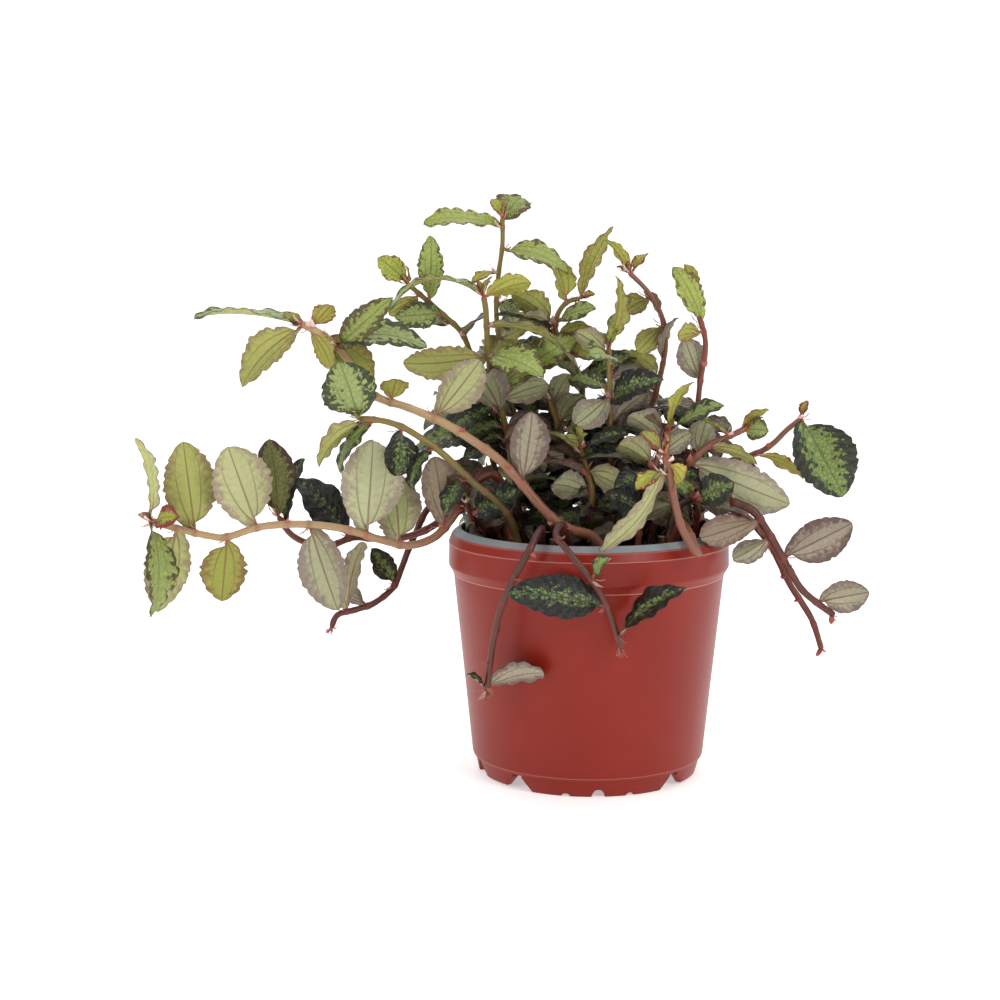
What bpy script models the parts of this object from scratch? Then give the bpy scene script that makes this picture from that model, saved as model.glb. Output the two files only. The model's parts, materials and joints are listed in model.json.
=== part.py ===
# Potted trailing foliage plant: a plastic nursery pot, its soil and many leafy stems.
# Metres, +Z up, the pot's axis on Z, its feet on z = 0, the front towards -Y.
import math
import random

import bpy
from mathutils import Vector
from mathutils.bvhtree import BVHTree

mm = 0.001

# Pot, outside sizes
rimRadius = 60 * mm
creaseHeight = 99.7 * mm
lipRadius = 58.6 * mm
lipHeight = 103.2 * mm
mouthRadius = 54.8 * mm
potHeight = 106 * mm
ledgeRadius = 57.9 * mm
ledgeHeight = 86.6 * mm
bandHeight = 90 * mm
stepRadius = 49.8 * mm
stepHeight = 8 * mm
heelRadius = 48.3 * mm
footHeight = 6.4 * mm
potWall = 1.2 * mm
heelRounding = 0.6 * mm
potSides = 36

# Feet under the pot: three long notched ones and three short ones, turn about
footInner = 44.4 * mm
footOuter = 47.2 * mm
footTop = 48.7 * mm
longFootSpan = 80
shortFootSpan = 29
frontFootTurn = 3
notchStep = 16.5
sideNotch = (4.6, 1.2 * mm)
middleNotch = (7, 3.1 * mm)
footSlope = 5.5
footEnd = 5.2 * mm
shortFootRise = 0.6 * mm
centreFootRadius = 9 * mm
centreFootSides = 12
drainCircle = 30 * mm
drainRadius = 3.5 * mm
drainHoles = 6
drainSides = 8

# Soil
meshGap = 0.3 * mm
soilLevel = 96.6 * mm
soilBump = 1.1 * mm
soilRings = (40 * mm, 20 * mm)
soilWaves = (9 * mm, 11 * mm, 17 * mm)
soilSides = 24
holeDepth = 12 * mm

# Stems: the front view's eye, the straight rise out of the soil and the curve's detail
eyePoint = Vector((-38 * mm, -803 * mm, 227 * mm))
rootRise = 1.5 * mm
rootLead = 5 * mm
stemSides = 5
routeSteps = 8
routeTolerance = 0.6 * mm

# Leaves: a short stalk, then an oval blade that leans to one side at its foot
bladeThickness = 0.8 * mm
stalkHalf = 0.7 * mm
stalkReach = 1.2 * mm
stalkShare = 0.3
bladeSlip = 0.05
bladeFold = 0.16
bladeWave = 0.02
waveTurns = 9
scallop = 0.055
longBlade = 40 * mm
middleBlade = 29 * mm
clearance = 0.4 * mm
siblingReach = 7 * mm

# What a leaf tries in turn until it is clear: size, shift in depth (mm), swing (degrees)
leafSizes = (1, 0.88, 0.76)
leafShifts = (0, 5, -5, 10, -10, 16, -16, 22, -22)
leafSwings = (0, 14, -14, 28, -28, 45, -45)

# Each stem: root on the soil (x, y), then points as the front view shows them
# (x, depth y, height z), all in mm. Each leaf: base x and height, tip x and height,
# how much deeper the tip lies, turn of the upper side (0 to the front, 90 up,
# 180 to the back), width, age from 0 to 1, arch.
stems = [
    dict(
        name="stem_long_left", root=(-34, 4), thick=3.8, tip=2.8, tone="tan",
        route=[
            (-37, 3, 122), (-42, 0, 128), (-50, -5, 123), (-56, -9, 113), (-61, -12, 106),
            (-66, -14, 101), (-73, -15, 98), (-80, -16, 97.5), (-90, -17, 100), (-105, -18, 104.5),
            (-122, -19, 106.5), (-140, -20, 105.5), (-155, -20, 101), (-163, -20, 101.5),
            (-175, -20, 104.3), (-188, -20, 108),
        ],
        leaves=[
            (-187, 109, -193, 144, 3, 108, 17, 0.2, 0.08),
            (-186, 109, -176, 110, -9, 30, 11, 0.1, 0.1),
            (-168, 103, -173, 142, 5, 180, 22, 0.45, 0.08),
            (-142, 105, -154, 140, -2, 182, 25, 0.55, 0.08),
            (-188, 107, -188, 66, -7, 52, 18, 0.6, 0.1),
            (-177, 103, -185, 69, 8, 134, 19, 0.4, 0.08),
            (-155, 101, -158, 73, -3, 176, 19, 0.3, 0.06),
            (-119, 106, -108, 69, -3, 184, 20, 0.5, 0.08),
            (-96, 102, -92, 143, -5, 178, 26, 0.6, 0.08),
            (-81, 98, -84, 129, 16, 170, 20, 0.6, 0.08),
            (-62, 106, -66, 136, -6, 172, 17, 0.6, 0.08),
        ],
    ),
    dict(
        name="stem_left_behind", root=(-38, 15), thick=3.4, tip=2.6, tone="red",
        route=[
            (-46, 17, 114), (-58, 17, 111), (-72, 16, 103), (-86, 15, 100), (-100, 13, 101),
            (-106, 11, 99), (-112, 9, 97), (-121, 8, 98.5), (-128, 8, 102.5), (-133, 8, 110),
        ],
        leaves=[
            (-133, 110, -136, 143, -2, 14, 19, 0.7, 0.08),
            (-103, 100, -125, 126, -3, 16, 21, 0.95, 0.08),
            (-130, 106, -122, 135, 4, 50, 10, 0.8, 0.08),
        ],
    ),
    dict(
        name="stem_left_low", root=(-42, 24), thick=3.1, tip=2.6, tone="brown",
        route=[
            (-50, 26, 116), (-61, 25, 117), (-69, 24, 113), (-74, 22, 103), (-77.5, 20, 95),
            (-80.5, 18, 87), (-84, 16, 79), (-92, 12, 72.3), (-100, 9, 69.3), (-108, 7, 67),
            (-111, 6, 61),
        ],
        leaves=[
            (-104, 68, -97, 99, -2, 128, 15, 0.4, 0.06),
            (-84, 80, -93, 96, -3, 24, 11, 0.75, 0.06),
            (-95, 71, -110, 79, 8, 100, 9, 0.5, 0.1),
        ],
    ),
    dict(
        name="stem_thick_left", root=(6, -34), thick=4.3, tip=2.9, tone="tan",
        route=[
            (2, -34, 101), (-6, -33, 103.7), (-14, -32, 108), (-21, -31, 114.8), (-29.5, -29, 125),
            (-38, -27, 134), (-48, -25, 141.5), (-58, -22, 148), (-67, -19, 152.5), (-78, -16, 157),
            (-90, -14, 161), (-96, -12, 167), (-101, -11, 175), (-111, -11, 186), (-122, -11, 192.5),
        ],
        leaves=[
            (-66, 153, -46, 177, -8, 186, 17, 0.6, 0.08),
            (-28, 125, -24, 155, -9, 176, 16, 0.5, 0.08),
            (-84, 159, -82, 169, -8, 166, 12, 0.3, 0.05),
            (-121, 192, -167, 196, -4, 83, 22, 0.5, 0.06),
            (-121, 192, -148, 166, -6, 140, 17, 0.3, 0.12),
            (-119, 191, -109, 173, -9, 150, 10, 0.3, 0.1),
            (-118, 190, -109, 200, -9, 166, 9, 0.15, 0.08),
            (-112, 187, -92, 168, -3, 176, 18, 0.35, 0.1),
            (-108, 184, -69, 183, -9, 48, 15, 0.5, 0.14),
            (-107, 183, -84, 203, 3, 30, 12, 0.35, 0.1),
        ],
    ),
    dict(
        name="stem_left_round_leaf", root=(-30, -16), thick=3.2, tip=2.5, tone="olive",
        route=[
            (-33, -18, 108), (-40, -20, 117), (-50, -22, 125), (-57, -24, 132), (-65, -25, 139),
            (-73, -26, 144.5), (-80, -26, 148.5), (-88, -27, 151), (-98, -27, 152),
        ],
        leaves=[
            (-99, 152, -106, 176, -4, 8, 23, 0.55, 0.08),
            (-94, 152, -116, 132, -4, 118, 14, 0.5, 0.12),
            (-92, 151, -107, 129, 7, 60, 13, 0.6, 0.1),
            (-80, 148, -82, 127, 9, 18, 15, 0.9, 0.08),
            (-66, 140, -76, 122, -9, 64, 14, 0.85, 0.1),
            (-52, 127, -62, 112, -4, 50, 13, 0.9, 0.08),
        ],
    ),
    dict(
        name="stem_upright_olive", root=(-27, 11), thick=3, tip=2.4, tone="olive",
        route=[
            (-30, 12, 112), (-32, 13, 128), (-34, 12, 140), (-37, 8, 154), (-41, 3, 168),
            (-43, 0, 180), (-43.6, -2, 190), (-44, -3, 198), (-45, -3, 204),
        ],
        leaves=[
            (-45, 204, -85, 199, -2, 84, 17, 0.5, 0.24),
            (-44.5, 203, -25, 210, -3, 140, 12, 0.2, 0.08),
            (-43.6, 191, -3, 171, -5, 98, 16, 0.5, 0.16),
            (-43, 179, -79, 175, -4, 202, 16, 0.5, 0.08),
            (-40, 165, -4, 187, -5, 30, 14, 0.35, 0.1),
            (-35, 149, -76, 138, 3, 52, 20, 0.7, 0.1),
            (-38, 158, -60, 146, 10, 52, 13, 0.8, 0.08),
            (-41, 169, -58, 161, 8, 62, 11, 0.9, 0.08),
        ],
    ),
    dict(
        name="stem_tallest", root=(-20, 22), thick=2.4, tip=1.9, tone="olive",
        route=[
            (-22, 21, 112), (-26, 19, 130), (-31, 17, 150), (-36, 15, 172), (-39.5, 14, 195),
            (-38.7, 13, 212), (-37, 12, 225), (-37, 12, 237),
        ],
        leaves=[
            (-37, 232, -70, 235, -2, 62, 16, 0.3, 0.08),
            (-37, 236, -29, 245, 13, 30, 17, 0.2, 0.08),
            (-37, 223, -9, 214, -3, 56, 15, 0.35, 0.1),
            (-38.5, 213, -50, 210, -3, 60, 7, 0.1, 0.08),
            (-39, 203, -32, 191, 14, 40, 14, 0.5, 0.1),
            (-34, 165, -22, 150, 16, 50, 15, 0.7, 0.1),
        ],
    ),
    dict(
        name="stem_upper_left", root=(-34, 30), thick=2.7, tip=2.2, tone="olive",
        route=[
            (-38, 29, 118), (-42, 26, 140), (-46, 22, 160), (-49.5, 17, 176), (-54, 13, 188),
            (-62, 10, 196), (-70, 8, 203), (-77, 8, 209),
        ],
        leaves=[
            (-77, 209, -89, 220, -4, 26, 11, 0.2, 0.06),
            (-67, 202, -67, 229, -2, 40, 11, 0.35, 0.08),
            (-72, 204, -85, 196, -7, 206, 10, 0.3, 0.06),
            (-62, 196, -82, 195, -10, 14, 12, 0.45, 0.08),
            (-58, 192, -92, 186, 8, 70, 14, 0.5, 0.08),
            (-44, 150, -66, 163, 12, 66, 16, 0.8, 0.1),
        ],
    ),
    dict(
        name="stem_zigzag_middle", root=(-8, 31), thick=2.8, tip=2.1, tone="olive",
        route=[
            (-8, 30, 116), (-6, 28, 132), (-5, 25, 148), (-3, 21, 164), (-8, 18, 176),
            (-14, 15, 187), (-14, 13, 195), (-10, 12, 201), (-4, 12, 203),
        ],
        leaves=[
            (-14, 188, -40, 196, -8, 96, 15, 0.9, 0.08),
            (-14, 192, -33, 205, -3, 150, 13, 0.4, 0.08),
            (-12, 184, 3, 178, -9, 26, 11, 0.2, 0.06),
            (-11, 181, -39, 178, 8, 56, 14, 0.75, 0.1),
            (-10, 201, -15, 219, -2, 108, 13, 0.3, 0.08),
            (-4, 203, 9, 233, -2, 122, 13, 0.3, 0.06),
            (-13, 193, 2, 199, -12, 40, 9, 0.4, 0.06),
            (-4, 168, 17, 179, -9, 30, 12, 0.7, 0.06),
            (-5, 148, -24, 158, 6, 60, 15, 0.8, 0.1),
        ],
    ),
    dict(
        name="stem_upright_middle", root=(11, -8), thick=2.6, tip=2, tone="olive",
        route=[(10, -8, 112), (9.5, -8, 130), (9, -8, 150), (8.5, -7, 168), (8, -6, 183)],
        leaves=[
            (8, 183, 12, 212, -2, 112, 14, 0.35, 0.08),
            (8, 182, 18, 203, 8, 70, 11, 0.4, 0.08),
            (8, 180, -6, 189, -7, 156, 10, 0.6, 0.06),
            (8.5, 170, 26, 165, -5, 164, 13, 0.85, 0.06),
            (9, 161, -6, 149, -8, 196, 14, 0.7, 0.08),
            (9, 149, 24, 163, -6, 152, 13, 0.9, 0.08),
        ],
    ),
    dict(
        name="stem_pink", root=(22, 16), thick=2.7, tip=2, tone="pink",
        route=[
            (21, 14, 118), (21, 11, 136), (22, 9, 150), (26, 7, 157), (29, 5, 166), (31.5, 4, 178),
            (32, 3, 186), (30, 2, 196), (24, 1, 206), (16, 0, 214),
        ],
        leaves=[
            (16.5, 213, 6, 228, -2, 116, 10, 0.2, 0.06),
            (17, 213, 24, 222, 3, 60, 7, 0.1, 0.06),
            (26, 203, 14, 197, -6, 160, 10, 0.4, 0.08),
            (30.5, 194, 23, 206, 6, 112, 9, 0.5, 0.06),
            (31, 192, 20, 180, -5, 184, 10, 0.4, 0.08),
            (31, 175, 36, 195, -4, 104, 13, 0.8, 0.08),
            (23, 152, 5, 158, 9, 60, 14, 0.7, 0.1),
        ],
    ),
    dict(
        name="stem_upright_right", root=(40, 2), thick=2.6, tip=2, tone="red",
        route=[
            (43, 0, 118), (45, -4, 138), (46, -8, 156), (47, -10, 168), (49, -12, 182), (47.5, -13, 191),
            (44, -14, 200), (41, -14, 209),
        ],
        leaves=[
            (46, 192, 35.5, 216, -4, 36, 12, 0.4, 0.08),
            (43, 203, 40, 217, 5, 96, 9, 0.2, 0.06),
            (48, 189, 37, 187, -7, 150, 9, 0.3, 0.06),
            (47, 168, 40, 186, -5, 184, 13, 0.5, 0.08),
        ],
    ),
    dict(
        name="stem_front_right", root=(33, -23), thick=4, tip=3, tone="tan",
        route=[
            (39, -31, 106), (41.5, -38, 105), (43.5, -45, 101.5), (45.6, -49.5, 97), (47, -52, 94),
            (45.5, -54.5, 95.3), (43, -56, 99), (39.5, -57, 106), (37, -58, 115), (35, -58, 124),
            (32.5, -58, 137),
        ],
        leaves=[
            (32.5, 136, 4.5, 95, -3, 128, 12, 0.4, -0.14),
            (32.5, 137, 22, 146, -3, 60, 10, 0.15, 0.08),
            (33, 134, 40, 125, -4, 150, 9, 0.2, 0.1),
            (34, 129, 20, 122, -4, 60, 11, 0.3, 0.1),
        ],
    ),
    dict(
        name="stem_right_short", root=(20, -14), thick=2.8, tip=2.3, tone="pink",
        route=[(23, -14, 115), (28, -14, 132), (34, -15, 147)],
        leaves=[
            (34, 147, 43, 168, -3, 110, 11, 0.3, 0.08),
            (33.5, 146, 24, 153, -5, 76, 9, 0.8, 0.06),
            (34, 147, 57, 158, -6, 62, 13, 0.6, 0.06),
            (32, 142, 14, 148, 4, 74, 12, 0.85, 0.08),
            (28, 131, 12, 141, -9, 158, 14, 0.6, 0.1),
            (25, 121, 46, 128, 8, 60, 14, 0.8, 0.1),
        ],
    ),
    dict(
        name="stem_right_tuft", root=(26, -2), thick=3, tip=2.3, tone="pink",
        route=[
            (30, -4, 114), (35, -8, 124), (43, -11, 133), (52, -14, 141), (61, -16, 145),
            (67, -16, 148),
        ],
        leaves=[
            (60, 145, 44, 153, -6, 70, 10, 0.3, 0.06),
            (64, 146, 76, 156, 3, 116, 9, 0.2, 0.06),
            (66, 147, 76, 147, -8, 14, 10, 0.4, 0.06),
            (43, 132, 86, 115, -8, 190, 21, 0.6, 0.06),
            (51, 140, 72, 133, -9, 122, 10, 0.5, 0.06),
            (46, 136, 50, 152, 7, 160, 13, 0.7, 0.08),
            (36, 125, 52, 122, 10, 64, 14, 0.8, 0.08),
        ],
    ),
    dict(
        name="stem_right_arch", root=(27, 24), thick=2.8, tip=2.3, tone="pink",
        route=[
            (34, 21, 114), (46, 16, 125), (58, 10, 133), (71, 5, 137), (78, 3, 141), (84, 2, 147),
            (90, 1, 152),
        ],
        leaves=[
            (90, 152, 109, 118.5, -6, 12, 26, 0.65, 0.06),
            (71, 137, 92, 127, -4, 118, 10, 0.1, 0.06),
            (60, 133, 70, 119, 14, 44, 15, 0.7, 0.08),
            (46, 125, 48, 146, 16, 70, 14, 0.7, 0.1),
        ],
    ),
    dict(
        name="stem_right_trailing", root=(33, -14), thick=4, tip=2.8, tone="brown",
        route=[
            (38, -14, 114), (50, -16, 119), (62, -18, 116), (70, -19, 112.5), (75, -20, 106),
            (80, -21, 98), (84, -21, 91), (88, -21, 84), (92.5, -20, 77.5), (99, -19, 72), (106, -18, 67),
        ],
        leaves=[
            (84, 92, 113, 107, -4, 182, 18, 0.6, 0.06),
            (98, 73, 121, 77, -3, 176, 14, 0.3, 0.06),
            (73, 109, 47, 100, -9, 140, 13, 0.4, 0.04),
            (78, 101, 62, 91, -5, 200, 11, 0.6, 0.06),
        ],
    ),
    dict(
        name="stem_right_low", root=(36, 14), thick=3.5, tip=2.6, tone="red",
        route=[
            (44, 12, 112), (57, 10, 114), (67, 8, 110), (73, 7, 104), (79, 5, 96), (83, 4, 88),
            (87, 3, 80), (92, 2, 72.5), (97, 1, 64), (101, 0, 52),
        ],
        leaves=[
            (66, 110, 58, 99, 16, 60, 13, 0.7, 0.1),
        ],
    ),
    dict(
        name="stem_hanging_left", root=(-21, -40), thick=3, tip=2.5, tone="brown",
        route=[
            (-20, -50, 104), (-22.5, -57, 101), (-26, -61, 94), (-30, -61, 87), (-34.5, -59, 78),
            (-38.5, -56, 67), (-41.5, -54, 52), (-43, -53, 40), (-44, -52, 33),
        ],
        leaves=[(-43.5, 35, -19, 42, -4, 116, 15, 0.9, 0.08), (-43.8, 34, -52, 41, -3, 80, 9, 0.7, 0.08)],
    ),
    dict(
        name="stem_hanging_middle", root=(-8, -42), thick=3, tip=2.5, tone="brown",
        route=[
            (-11, -51, 106), (-14, -58, 102), (-10.5, -63, 97), (-5, -65, 90), (0, -66, 84),
            (5, -66, 76.5), (9.5, -65, 67), (12.5, -64, 58), (14.5, -63, 52),
        ],
        leaves=[
            (8, 70, -34, 77, -4, 30, 20, 0.95, 0.06),
            (1, 82, 9, 92, -4, 60, 9, 0.6, 0.08),
            (13, 57, 42, 79, -3, 62, 17, 0.95, 0.08),
        ],
    ),
    dict(
        name="stem_rim_left", root=(-45, 2), thick=2.8, tip=2.2, tone="brown",
        route=[(-46, -2, 104), (-50, -8, 110), (-53, -14, 116)],
        leaves=[
            (-46, 104, -36, 117, -10, 160, 15, 0.9, 0.08),
            (-52, 114, -60, 127, -6, 60, 12, 0.9, 0.08),
            (-50, 110, -44, 124, -12, 170, 12, 0.8, 0.08),
        ],
    ),
    dict(
        name="stem_centre_short", root=(-8, 20), thick=3, tip=2.3, tone="olive",
        route=[(-8.5, 19, 116), (-9.5, 17, 128), (-10, 14, 139), (-12.5, 12, 147), (-17, 10, 160)],
        leaves=[
            (-12, 146, 2, 151, -5, 60, 12, 0.6, 0.06),
            (-17, 160, -28, 168, -4, 100, 12, 0.6, 0.08),
            (-10, 138, 12, 134, -12, 66, 14, 0.5, 0.06),
            (-10, 131, -24, 139, -5, 60, 12, 0.8, 0.08),
            (-9, 122, -26, 113, 6, 40, 14, 0.9, 0.08),
            (-16, 157, -9, 171, 4, 140, 12, 0.7, 0.08),
        ],
    ),
    dict(
        name="stem_centre_low", root=(1, -12), thick=2.6, tip=2.2, tone="olive",
        route=[(1, -13, 110), (1.5, -14, 120), (-1, -16, 131), (-4, -18, 140)],
        leaves=[
            (-4, 139, 16, 146, -3, 66, 14, 0.9, 0.06),
            (-1, 130, 16, 121, -9, 150, 14, 0.6, 0.08),
            (-3, 137, -18, 147, -3, 100, 11, 0.5, 0.06),
            (1, 120, -16, 124, -9, 160, 13, 0.7, 0.08),
            (1, 112, -14, 107, -12, 50, 12, 0.9, 0.06),
        ],
    ),
    dict(
        name="stem_rim_right", root=(44, -6), thick=2.6, tip=2.1, tone="brown",
        route=[(46, -10, 106), (47, -15, 113), (44, -20, 119)],
        leaves=[
            (46, 107, 20, 117, -12, 176, 17, 0.6, 0.06),
            (46, 117, 62, 124, -5, 60, 14, 0.8, 0.08),
            (44, 119, 30, 129, -4, 90, 13, 0.7, 0.08),
        ],
    ),
]

# Stems at the back, by rule: compass turn from +X, how far out, peak and end height
backStems = [
    dict(name="stem_back_right", turn=66, root=33, reach=84, peak=120, end=66),
    dict(name="stem_back_middle", turn=84, root=34, reach=92, peak=124, end=46),
    dict(name="stem_back_left", turn=101, root=35, reach=88, peak=122, end=78),
    dict(name="stem_back_left_low", turn=116, root=32, reach=82, peak=117, end=58),
    dict(name="stem_back_upright", turn=78, root=26, reach=46, peak=148, end=154),
    dict(name="stem_back_lean", turn=124, root=30, reach=64, peak=138, end=136),
]
backSteps = 7
backSway = 6
backStart = 98
backTopAt = 0.77
backDropFrom = 0.5
backThick = 3
backThin = 2.2
backLeafStep = 14 * mm
backLeafLength = 32
backLeafWidth = 18
backBareHeight = 8 * mm
backBarePoints = 12
backSweeps = (0.3, 0.8)
backRises = (-0.3, 0.4)
backSizes = (0.7, 1.05)
backLeans = (65, 115)
backAges = (0.4, 0.9)

# Upright stems whose lower parts carry the leaves of the dense middle
coreStems = (
    "stem_upright_olive", "stem_tallest", "stem_upper_left", "stem_zigzag_middle",
    "stem_upright_middle", "stem_pink", "stem_upright_right", "stem_centre_short",
    "stem_right_short", "stem_right_tuft", "stem_right_arch", "stem_back_upright", "stem_back_lean",
)
coreLeafStep = 12 * mm
coreLeafLength = 34
coreLeafWidth = 19
coreFirstPoint = 6
coreMargin = 12
coreLeft = -62
coreRight = 46
coreTurns = (-30, 210)
coreRises = (-0.25, 0.7)
coreSizes = (0.75, 1.05)
coreLeans = (40, 130)
coreAges = (0.7, 1)
tipsLeft = -84
tipsRight = 52
leafArch = 0.1

# The dense middle's top as the front view shows it: level, then falling to both sides
crownTop = 166
crownSlope = 0.5
crownFlatFrom = -40

# Old stems cut short: x, y on the soil, radius and height above it
cutStubs = [(14, 44, 2.6, 7), (-39, 38, 2, 6), (-15, -2, 2, 5), (31, -4, 1.8, 5)]
stubSides = 8

tones = {
    "tan": (0.24, 0.27, 0.16), "red": (0.20, 0.16, 0.12), "brown": (0.15, 0.12, 0.09),
    "olive": (0.20, 0.25, 0.11), "pink": (0.24, 0.19, 0.14),
}


def seenPoint(x, y, z):
    """The point at depth y that the front view shows at x, z on the pot's upright plane."""
    reach = (y * mm - eyePoint.y) / -eyePoint.y
    plane = Vector((x * mm, 0, z * mm))
    return eyePoint + (plane - eyePoint) * reach


def seenPlace(point):
    """Where the front view shows a point, on the pot's upright plane, in mm."""
    reach = -eyePoint.y / (point.y - eyePoint.y)
    place = eyePoint + (point - eyePoint) * reach
    return place.x / mm, place.z / mm


def smoothRoute(points, steps):
    """A smooth curve through the points, straight up out of the first."""
    padded = [points[0] * 2 - points[1]] + points + [points[-1] * 2 - points[-2]]
    padded[0] = points[0] - Vector((0, 0, rootLead))
    curve = [points[0]]
    for a, b, c, d in zip(padded, padded[1:], padded[2:], padded[3:]):
        for step in range(1, steps + 1):
            t = step / steps
            bend = (a * 2 - b * 5 + c * 4 - d) * t * t + (b * 3 - a - c * 3 + d) * t ** 3
            curve.append(b + (c - a) * (0.5 * t) + bend * 0.5)
    return curve


def keepBends(points, tolerance):
    """Leave out the points that lie within the tolerance of a straight run."""
    if len(points) < 3:
        return points
    first, last = points[0], points[-1]
    run = (last - first).normalized()
    offsets = [(point - first - run * (point - first).dot(run)).length for point in points]
    worst = max(range(len(points)), key=lambda index: offsets[index])
    if offsets[worst] < tolerance:
        return [first, last]
    head = keepBends(points[: worst + 1], tolerance)
    return head[:-1] + keepBends(points[worst:], tolerance)


def soilTop(x, y):
    """The soil's uneven top."""
    short, middle, long = soilWaves
    waves = math.sin(x / short) * math.cos(y / middle) + math.sin((x + y) / long)
    return soilLevel + soilBump * waves / 2


def addObject(name, mesh, colour, roughness):
    material = bpy.data.materials.new(name)
    material.use_nodes = True
    shader = material.node_tree.nodes["Principled BSDF"]
    shader.inputs["Base Color"].default_value = (*colour, 1)
    shader.inputs["Roughness"].default_value = roughness
    mesh.materials.append(material)
    piece = bpy.data.objects.new(name, mesh)
    bpy.context.scene.collection.objects.link(piece)
    return piece


def addGuide(name, points, faces, collection):
    """A helper solid that a Boolean uses and that is then removed."""
    mesh = bpy.data.meshes.new(name)
    mesh.from_pydata(points, [], faces)
    guide = bpy.data.objects.new(name, mesh)
    guide.hide_render = True
    guide.display_type = "WIRE"
    collection.objects.link(guide)
    return guide


def applyBoolean(piece, operation, collection):
    modifier = piece.modifiers.new(operation.lower(), "BOOLEAN")
    modifier.operation = operation
    modifier.operand_type = "COLLECTION"
    modifier.collection = collection
    modifier.solver = "EXACT"
    graph = bpy.context.evaluated_depsgraph_get()
    result = bpy.data.meshes.new_from_object(piece.evaluated_get(graph))
    piece.modifiers.remove(modifier)
    piece.data = result
    for guide in list(collection.objects):
        bpy.data.objects.remove(guide)
    bpy.data.collections.remove(collection)


def newCollection(name):
    collection = bpy.data.collections.new(name)
    bpy.context.scene.collection.children.link(collection)
    return collection


def turnedSolid(profile, sides, height=None):
    """A solid turned about Z; the profile's first and last points lie on the axis."""
    points = [Vector((0, 0, profile[0][1]))]
    for radius, level in profile[1:-1]:
        for side in range(sides):
            turn = math.tau * side / sides
            x, y = radius * math.cos(turn), radius * math.sin(turn)
            points.append(Vector((x, y, height(x, y) if height and level is None else level)))
    top = profile[-1][1]
    points.append(Vector((0, 0, height(0, 0) if height and top is None else top)))
    faces = []
    rings = len(profile) - 2
    last = len(points) - 1
    for side in range(sides):
        after = (side + 1) % sides
        faces.append((0, 1 + after, 1 + side))
        for ring in range(rings - 1):
            low, high = 1 + ring * sides, 1 + (ring + 1) * sides
            faces.append((low + side, low + after, high + after, high + side))
        high = 1 + (rings - 1) * sides
        faces.append((high + side, high + after, last))
    return points, faces


def footSector(steps, seat):
    """A curved foot round Z, wider at its top; steps give the turn and the height of its underside."""
    points = []
    for degrees, bottom in steps:
        turn = math.radians(degrees)
        outer = footOuter + (footTop - footOuter) * bottom / seat
        for radius, level in ((footInner, bottom), (outer, bottom), (footTop, seat), (footInner, seat)):
            points.append((radius * math.cos(turn), radius * math.sin(turn), level))
    faces = [(0, 1, 2, 3)]
    for index in range(len(steps) - 1):
        a, b = index * 4, index * 4 + 4
        for corner in range(4):
            after = (corner + 1) % 4
            faces.append((a + corner, b + corner, b + after, a + after))
    end = len(points) - 4
    faces.append((end + 3, end + 2, end + 1, end))
    return points, faces


def potProfile():
    """Outer side from under the base to the mouth, then the inside down to the floor."""
    outer = [
        (0, footHeight), (heelRadius, footHeight),
        (stepRadius - heelRounding, footHeight + heelRounding), (stepRadius, stepHeight),
        (ledgeRadius, ledgeHeight), (rimRadius, bandHeight), (rimRadius, creaseHeight),
        (lipRadius, lipHeight), (mouthRadius, potHeight),
    ]
    inner = [
        (mouthRadius - potWall / 2, potHeight - potWall), (lipRadius - potWall, lipHeight - potWall),
        (ledgeRadius - potWall, ledgeHeight), (stepRadius - potWall, footHeight + potWall),
        (0, footHeight + potWall),
    ]
    return outer + inner


def makePot():
    points, faces = turnedSolid(potProfile(), potSides)
    mesh = bpy.data.meshes.new("pot")
    mesh.from_pydata(points, [], faces)
    pot = addObject("pot", mesh, (0.26, 0.028, 0.02), 0.35)
    feet = newCollection("feet")
    seat = footHeight + 0.5 * potWall
    for turn in (0, 120, 240):
        middle, half = turn - 90 + frontFootTurn, longFootSpan / 2
        steps = [(middle - half, footEnd), (middle - half + footSlope, 0)]
        for shift, (span, height) in ((-notchStep, sideNotch), (0, middleNotch), (notchStep, sideNotch)):
            notch = middle + shift
            steps += [(notch - span / 2, 0), (notch - span / 4, height)]
            steps += [(notch + span / 4, height), (notch + span / 2, 0)]
        steps += [(middle + half - footSlope, 0), (middle + half, footEnd)]
        addGuide("foot", *footSector(steps, seat), feet)
        middle, half = middle + 60, shortFootSpan / 2
        steps = [(middle - half, footEnd), (middle - half + footSlope, shortFootRise)]
        steps += [(middle + half - footSlope, shortFootRise), (middle + half, footEnd)]
        addGuide("foot", *footSector(steps, seat), feet)
    centre = [(0, 0), (centreFootRadius, 0), (centreFootRadius, seat), (0, seat)]
    addGuide("foot", *turnedSolid(centre, centreFootSides), feet)
    applyBoolean(pot, "UNION", feet)
    drains = newCollection("drains")
    low, high = footHeight - potWall, footHeight + 2 * potWall
    cutter = [(0, low), (drainRadius, low), (drainRadius, high), (0, high)]
    for hole in range(drainHoles):
        turn = math.tau * hole / drainHoles
        points, faces = turnedSolid(cutter, drainSides)
        shift = Vector((drainCircle * math.cos(turn), drainCircle * math.sin(turn), 0))
        addGuide("drain", [point + shift for point in points], faces, drains)
    applyBoolean(pot, "DIFFERENCE", drains)
    pot.data.shade_smooth()
    pot.data.set_sharp_from_angle(angle=math.radians(25))
    return pot


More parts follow.
